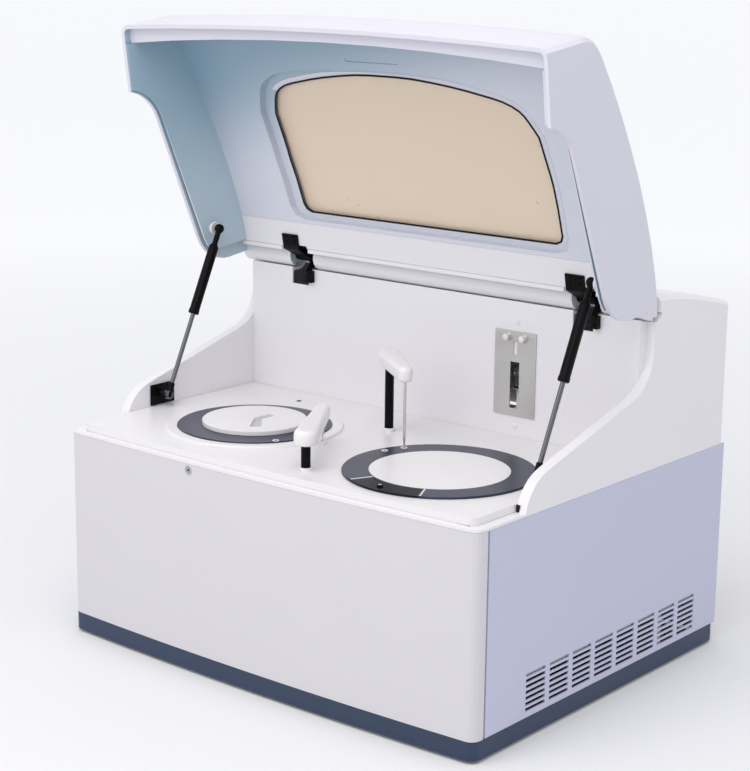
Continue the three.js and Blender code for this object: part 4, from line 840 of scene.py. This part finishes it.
# %% [markdown]
# Turned parts come next: the gas struts, their end covers, knobs, caps and eyelets. Each is a
# profile of radius and height in millimetres, spun about an axis. A profile that starts and
# ends on the axis gives a closed solid, and a looped one gives a closed ring.

# %% A lathe
UP, FORWARD = (0, 0, 1), (0, -1, 0)


def axis_frame(start, direction):
    turn = Vector(direction).to_track_quat("Z", "Y")
    return Matrix.Translation(Vector(start) * MM) @ turn.to_matrix().to_4x4()


def turned_mesh(name, profile, place, turns, looped):
    form = bmesh.new()
    rings = []
    for radius, height in profile:
        angles = [2 * math.pi * step / turns for step in range(turns)] if radius else [0.0]
        rings.append([
            form.verts.new(place @ (Vector((radius * math.cos(a), radius * math.sin(a), height)) * MM))
            for a in angles])
    following = rings[1:] + rings[:1] if looped else rings[1:]
    for lower, upper in zip(rings, following):
        for here in range(turns):
            there = (here + 1) % turns
            corners = (lower[here % len(lower)], lower[there % len(lower)],
                       upper[there % len(upper)], upper[here % len(upper)])
            form.faces.new(list(dict.fromkeys(corners)))
    bmesh.ops.recalc_face_normals(form, faces=form.faces)
    return shaded(mesh_of(form, name))


def turned(name, profile, start, direction, body, slot_name, turns=24, looped=False, finish=None):
    mesh = turned_mesh(name, profile, axis_frame(start, direction), turns, looped)
    return settled_on(piece_from(mesh, name), body, finish or slot_name)

# %% Gas struts
# The tube's heights are measured along the strut, from the foot.
strut_foot = Vector((391.5, -145, 390))
strut_head = Vector((391.5, -15, 668))
strut_span = (strut_head - strut_foot).length
tube_start = strut_span - 158
strut_tube = [
    (0, tube_start + 0.4), (4.6, tube_start + 0.4), (4.6, tube_start), (8.2, tube_start),
    (9.4, tube_start + 1.2), (9.4, tube_start + 7), (8.8, tube_start + 8),
    (8.8, strut_span - 36), (8.0, strut_span - 33), (4.8, strut_span - 28), (4.8, strut_span - 7),
    (7.2, strut_span - 5), (8.6, strut_span), (7.2, strut_span + 5), (4, strut_span + 7.6),
    (0, strut_span + 8),
]
rod_cover = [(0, -6.5), (4, -6), (6.4, -3), (6.8, 0), (6.4, 4), (5.6, 8), (5.6, 20), (4.6, 22), (0, 22)]
head_boss = [(0, 0), (10.5, 0), (11.5, -1), (11.5, -3.5), (8, -5), (0, -5)]
boss_offset = 9.5
for side, sign in (("left", -1), ("right", 1)):
    mirror = Vector((sign, 1, 1))
    foot, head = strut_foot * mirror, strut_head * mirror
    tube = turned(f"strut_tube_{side}", strut_tube, foot, head - foot, "strut_cylinder_" + side,
                  "black_steel", turns=32)
    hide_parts("strut_cylinder_" + side)
    turned(f"strut_rod_cover_{side}", rod_cover, foot, head - foot, "strut_rod_" + side, "black_steel")
    turned(f"strut_head_boss_{side}", head_boss, head + Vector((sign * boss_offset, 0, 0)), (-sign, 0, 0),
           "lid", "white_plastic", turns=32)
print("strut span:", round(strut_span, 1), "mm")

# %% [markdown]
# The window has a black rubber trim clipped over the edge of its opening. Its line is read off
# the CAD gasket: the inner loop of that ring is found, drawn in by the edge's width, and a cord
# is swept along it by Geometry Nodes.

# %% A tree for swept cords
cord_tree, given, out = geometry_group("swept_cord", [
    ("Radius", FLOAT, 1.5 * MM),
    ("Sides", "NodeSocketInt", 10),
    ("Material", "NodeSocketMaterial", None),
])
path = node(cord_tree, "GeometryNodeMeshToCurve")
feed(cord_tree, path.inputs[0], given.outputs["Geometry"])
section = node(cord_tree, "GeometryNodeCurvePrimitiveCircle")
feed(cord_tree, section.inputs["Resolution"], given.outputs["Sides"])
feed(cord_tree, section.inputs["Radius"], given.outputs["Radius"])
swept = node(cord_tree, "GeometryNodeCurveToMesh")
feed(cord_tree, swept.inputs["Curve"], path.outputs[0])
feed(cord_tree, swept.inputs["Profile Curve"], section.outputs[0])
finish_tree(cord_tree, swept.outputs[0], given, out)

# %% Window trim
opening_inset = 1.0 * MM
lip_thickness = 3.3 * MM
trim_radius = 1.7 * MM
ring_corner = math.radians(60)


def closed_line(points):
    mesh = bpy.data.meshes.new("line")
    links = [(step, (step + 1) % len(points)) for step in range(len(points))]
    mesh.from_pydata([tuple(point) for point in points], links, [])
    return mesh


def sharp_loops(cad_node, angle):
    """The closed loops of sharp edges of a ring-shaped node, each as a list of places."""
    form = merged_form(cad_node)
    form.edges.index_update()
    sharp = {edge.index: edge for edge in form.edges if edge.is_manifold and edge.calc_face_angle() > angle}
    loops = []
    while sharp:
        edge = sharp.pop(min(sharp))
        start, current = edge.verts
        loop = [start.co.copy(), current.co.copy()]
        while current != start:
            onward = sorted(edge.index for edge in current.link_edges if edge.index in sharp)
            if not onward:
                break
            current = sharp.pop(onward[0]).other_vert(current)
            if current != start:
                loop.append(current.co.copy())
        if current == start:
            loops.append(loop)
    form.free()
    return loops


def length_of(loop):
    return sum((b - a).length for a, b in zip(loop, loop[1:] + loop[:1]))


def middle_of(loop):
    return sum(loop, Vector()) / len(loop)


inner_loops = sorted(sharp_loops("window_gasket", ring_corner), key=length_of)[:2]
front_loop, back_loop = sorted(inner_loops, key=lambda loop: middle_of(loop).y)
window_middle = middle_of(front_loop)
towards_room = (window_middle - middle_of(back_loop)).normalized()
trim_line = []
for place in front_loop:
    inward = window_middle - place
    inward -= inward.dot(towards_room) * towards_room
    trim_line.append(place + inward.normalized() * opening_inset + towards_room * lip_thickness)
grown("window_trim", cord_tree, closed_line(trim_line), "lid", "rubber", Radius=trim_radius, Sides=12)
print("trim length:", round(length_of(trim_line), 3), "m")

# %% [markdown]
# Small fittings on the deck and the wall: probe eyelets, the flap's knob with a grey dot on top as painted
# highlight, its white edge strips, blind caps over the wall's screws, and a black rubber stop under the
# right cheek whose black is also painted shade for the gap there.

# %% Small bars
def bar(name, middle, size, body, slot_name, spin=0.0, soften=0.6, finish=None):
    form = bmesh.new()
    bmesh.ops.create_cube(form, size=1.0)
    for corner in form.verts:
        corner.co = Vector(part * whole for part, whole in zip(corner.co, size)) * MM
    bmesh.ops.bevel(form, geom=form.edges[:], offset=soften * MM, segments=2, profile=0.5, affect="EDGES")
    form.transform(Matrix.Translation(Vector(middle) * MM) @ Matrix.Rotation(spin, 4, "Z"))
    return settled_on(piece_from(mesh_of(form, name), name), body, finish or slot_name)

# %% Deck and wall fittings
sample_disc = Vector((-183.2, -146.2))
reaction_disc = Vector((221.0, -160.0))
deck_top, cover_top, bezel_top = 369, 372.5, 375


def around(disc, radius, angle):
    return disc + radius * Vector((math.cos(angle), math.sin(angle)))


eyelet = [(3.6, -0.5), (5.6, -0.5), (5.6, 0.5), (5.0, 1.0), (4.1, 1.0), (3.6, 0.5)]
eyelet_places = [(99, -96.5, cover_top), (86.8, -130.6, cover_top), (-99, -88, bezel_top),
                 (-78, -209, bezel_top), (-24.5, -154.5, deck_top)]
for number, place in enumerate(eyelet_places, start=1):
    turned(f"probe_eyelet_{number}", eyelet, place, UP, "cabinet", "white_plastic", looped=True)

strip_radius, strip_size, strip_middle = 131, (37, 2.6, 1.4), cover_top - 0.2
for number, degrees in enumerate((-116.6, -63.4), start=1):
    angle = math.radians(degrees)
    bar(f"flap_edge_strip_{number}", (*around(reaction_disc, strip_radius, angle), strip_middle), strip_size,
        "cabinet", "white_plastic", spin=angle, soften=0.4)
flap_knob = [(0, -0.3), (4.8, -0.3), (4.8, 2.0), (4.2, 2.7), (3.0, 2.8), (0, 2.8)]
knob_glint_dot = [(0, 0), (3.0, 0), (2.6, 0.4), (0, 0.5)]
knob_place = (212.2, -294.3)
turned("flap_knob", flap_knob, (*knob_place, cover_top), UP, "access_flap", "black_plastic")
# The grey dot on the black knob's top is a painted highlight for its glints.
turned("flap_knob_dot", knob_glint_dot, (*knob_place, cover_top + 2.7), UP, "access_flap", "black_plastic",
       turns=20, finish="grey_plastic")

blind_cap = [(0, -0.4), (4.6, -0.4), (4.6, 0.8), (3.8, 1.6), (1.8, 2.1), (0, 2.2)]
flat_cap = [(0, -0.4), (4.6, -0.4), (4.2, 0.6), (0, 0.9)]
wall_column, wall_face, wall_levels = 180, 95, (386.5, 561)
for number, level in enumerate(wall_levels, start=1):
    turned(f"wall_cap_{number}", blind_cap, (wall_column, wall_face, level), FORWARD, "cabinet",
           "white_plastic")
turned("deck_screw", flat_cap, (-248.9, 37.7, deck_top), UP, "cabinet", "black_plastic", turns=20)
# A black rubber stop at the right cheek's foot. Its black also darkens the gap between deck and cheek, as
# painted shade.
stop_place, stop_size = (415, -222.6, 362), (6, 3, 12)
bar("cheek_stop", stop_place, stop_size, "cabinet", "rubber")

lamp_face = (-138, -349.1, 343)
lamp_ring = [(6.0, -0.6), (7.7, -0.6), (7.5, 0.5), (6.3, 0.5)]
lamp_spot = [(0, -0.4), (2.0, -0.4), (1.8, 0.3), (0, 0.5)]
turned("lamp_ring", lamp_ring, lamp_face, FORWARD, "cabinet", "smoked_lens", turns=32, looped=True,
       finish="grey_plastic")
turned("lamp_spot", lamp_spot, lamp_face, FORWARD, "cabinet", "smoked_lens", turns=20,
       finish="black_plastic")
print("eyelets:", len(eyelet_places))

# %% [markdown]
# Under the cover of each disc stand its vessels: cuvettes on the reaction disc, tubes and bottles
# on the sample disc. The marks on the syringe repeat as well. Geometry Nodes sets one template
# on every point, spun about the upright by the angle stored with that point.

# %% A tree for repeated pieces
repeat_tree, given, out = geometry_group("set_on_points", [
    ("Template", "NodeSocketObject", None),
    ("Material", "NodeSocketMaterial", None),
])
template = node(repeat_tree, "GeometryNodeObjectInfo", transform_space="ORIGINAL")
feed(repeat_tree, template.inputs[0], given.outputs["Template"])
spun = node(repeat_tree, "FunctionNodeEulerToRotation")
feed(repeat_tree, spun.inputs[0], stored_vector(repeat_tree, "spin"))
finish_tree(repeat_tree, set_on_points(repeat_tree, given.outputs["Geometry"], template.outputs["Geometry"],
                                       spun.outputs[0]), given, out)

# %% Vessels in the discs
pocket_floor = 310.4


def round_disc(disc, radius, count, first):
    """Places round a disc at the level of its pockets, each with its spin about the upright."""
    places = []
    for step in range(count):
        angle = math.radians(first) + 2 * math.pi * step / count
        places.append((Vector((*around(disc, radius, angle), pocket_floor)) * MM, (0.0, 0.0, angle)))
    return places


def repeated_piece(name, profile, places, body, slot_name, turns, looped=False, finish=None):
    mesh = turned_mesh(name + "_template", profile, Matrix.Identity(4), turns, looped)
    pattern = piece_from(mesh, "template")
    grown(name, repeat_tree, cloud(places, "spin"), body, slot_name, finish=finish, Template=pattern)
    bpy.data.objects.remove(pattern)


cuvette = [(0, 0), (3.9, 0), (3.9, 44), (3.1, 44), (3.1, 1.2), (0, 1.2)]
tube = [(0, 0), (2.2, 0.3), (3.6, 1.6), (4.0, 3.8), (4.0, 47.6), (3.2, 47.6), (3.2, 4.2), (0, 2.4)]
bottle = [(0, 0), (8.6, 0), (9.4, 0.9), (9.4, 41), (8.4, 43.6), (6.6, 44.4), (6.6, 50), (5.6, 50), (5.6, 44),
          (8.0, 42), (8.0, 1.6), (0, 1.6)]
repeated_piece("cuvettes", cuvette, round_disc(reaction_disc, radius=137.5, count=48, first=152.5),
               "reaction_carousel", "clear_plastic", turns=16, finish="grey_plastic")
repeated_piece("sample_tubes", tube, round_disc(sample_disc, radius=122.5, count=20, first=-30.8),
               "sample_carousel", "white_plastic", turns=20)
repeated_piece("reagent_bottles", bottle, round_disc(sample_disc, radius=102.3, count=12, first=34.6),
               "sample_carousel", "white_plastic", turns=28, finish="reagent_amber")

# %% Marks, seal and knob caps on the syringe
syringe_axis, seal_level = (178, 104), 449.2
first_mark, mark_pitch, mark_count = 446, 4, 9
mark = [(6.9, 0), (7.2, 0), (7.2, 0.5), (6.9, 0.5)]
mark_places = [(Vector((*syringe_axis, first_mark + mark_pitch * step)) * MM, (0, 0, 0))
               for step in range(mark_count)]
repeated_piece("syringe_marks", mark, mark_places, "cabinet", "black_plastic", turns=32, looped=True)
seal = [(0, 0), (5.4, 0), (5.8, 0.8), (5.8, 3.4), (5.4, 4.2), (0, 4.2)]
turned("syringe_seal", seal, (*syringe_axis, seal_level), UP, "syringe_plunger", "black_plastic", turns=28,
       finish="rubber")
knob_cap = [(0, -0.3), (5.4, -0.3), (5.4, 1.0), (4.4, 1.9), (0, 2.1)]
knob_columns, knob_face, knob_level = (162, 194), 86.3, 536
for number, x in enumerate(knob_columns, start=1):
    turned(f"syringe_knob_cap_{number}", knob_cap, (x, knob_face, knob_level), FORWARD, "cabinet",
           "white_plastic")
print("marks:", mark_count)

# %% [markdown]
# With the lid open, a thin lip hangs from its front strip and closes the gap along the hinge
# line. It comes in three lengths that leave the hinges free, because one long lip would cut into
# the hinge brackets when the lid goes down.

# %% Lip across the hinge gap
lip_middle, lip_section = (72.9, 632.2), (3.4, 7.2)
lip_lengths = ((-418, -320), (-260, 284), (344, 418))
for number, (start, end) in enumerate(lip_lengths, start=1):
    bar(f"gap_lip_{number}", ((start + end) / 2, *lip_middle), (end - start, *lip_section), "lid",
        "white_plastic", soften=0.8, finish="housing_plastic")
print("lip lengths:", len(lip_lengths))
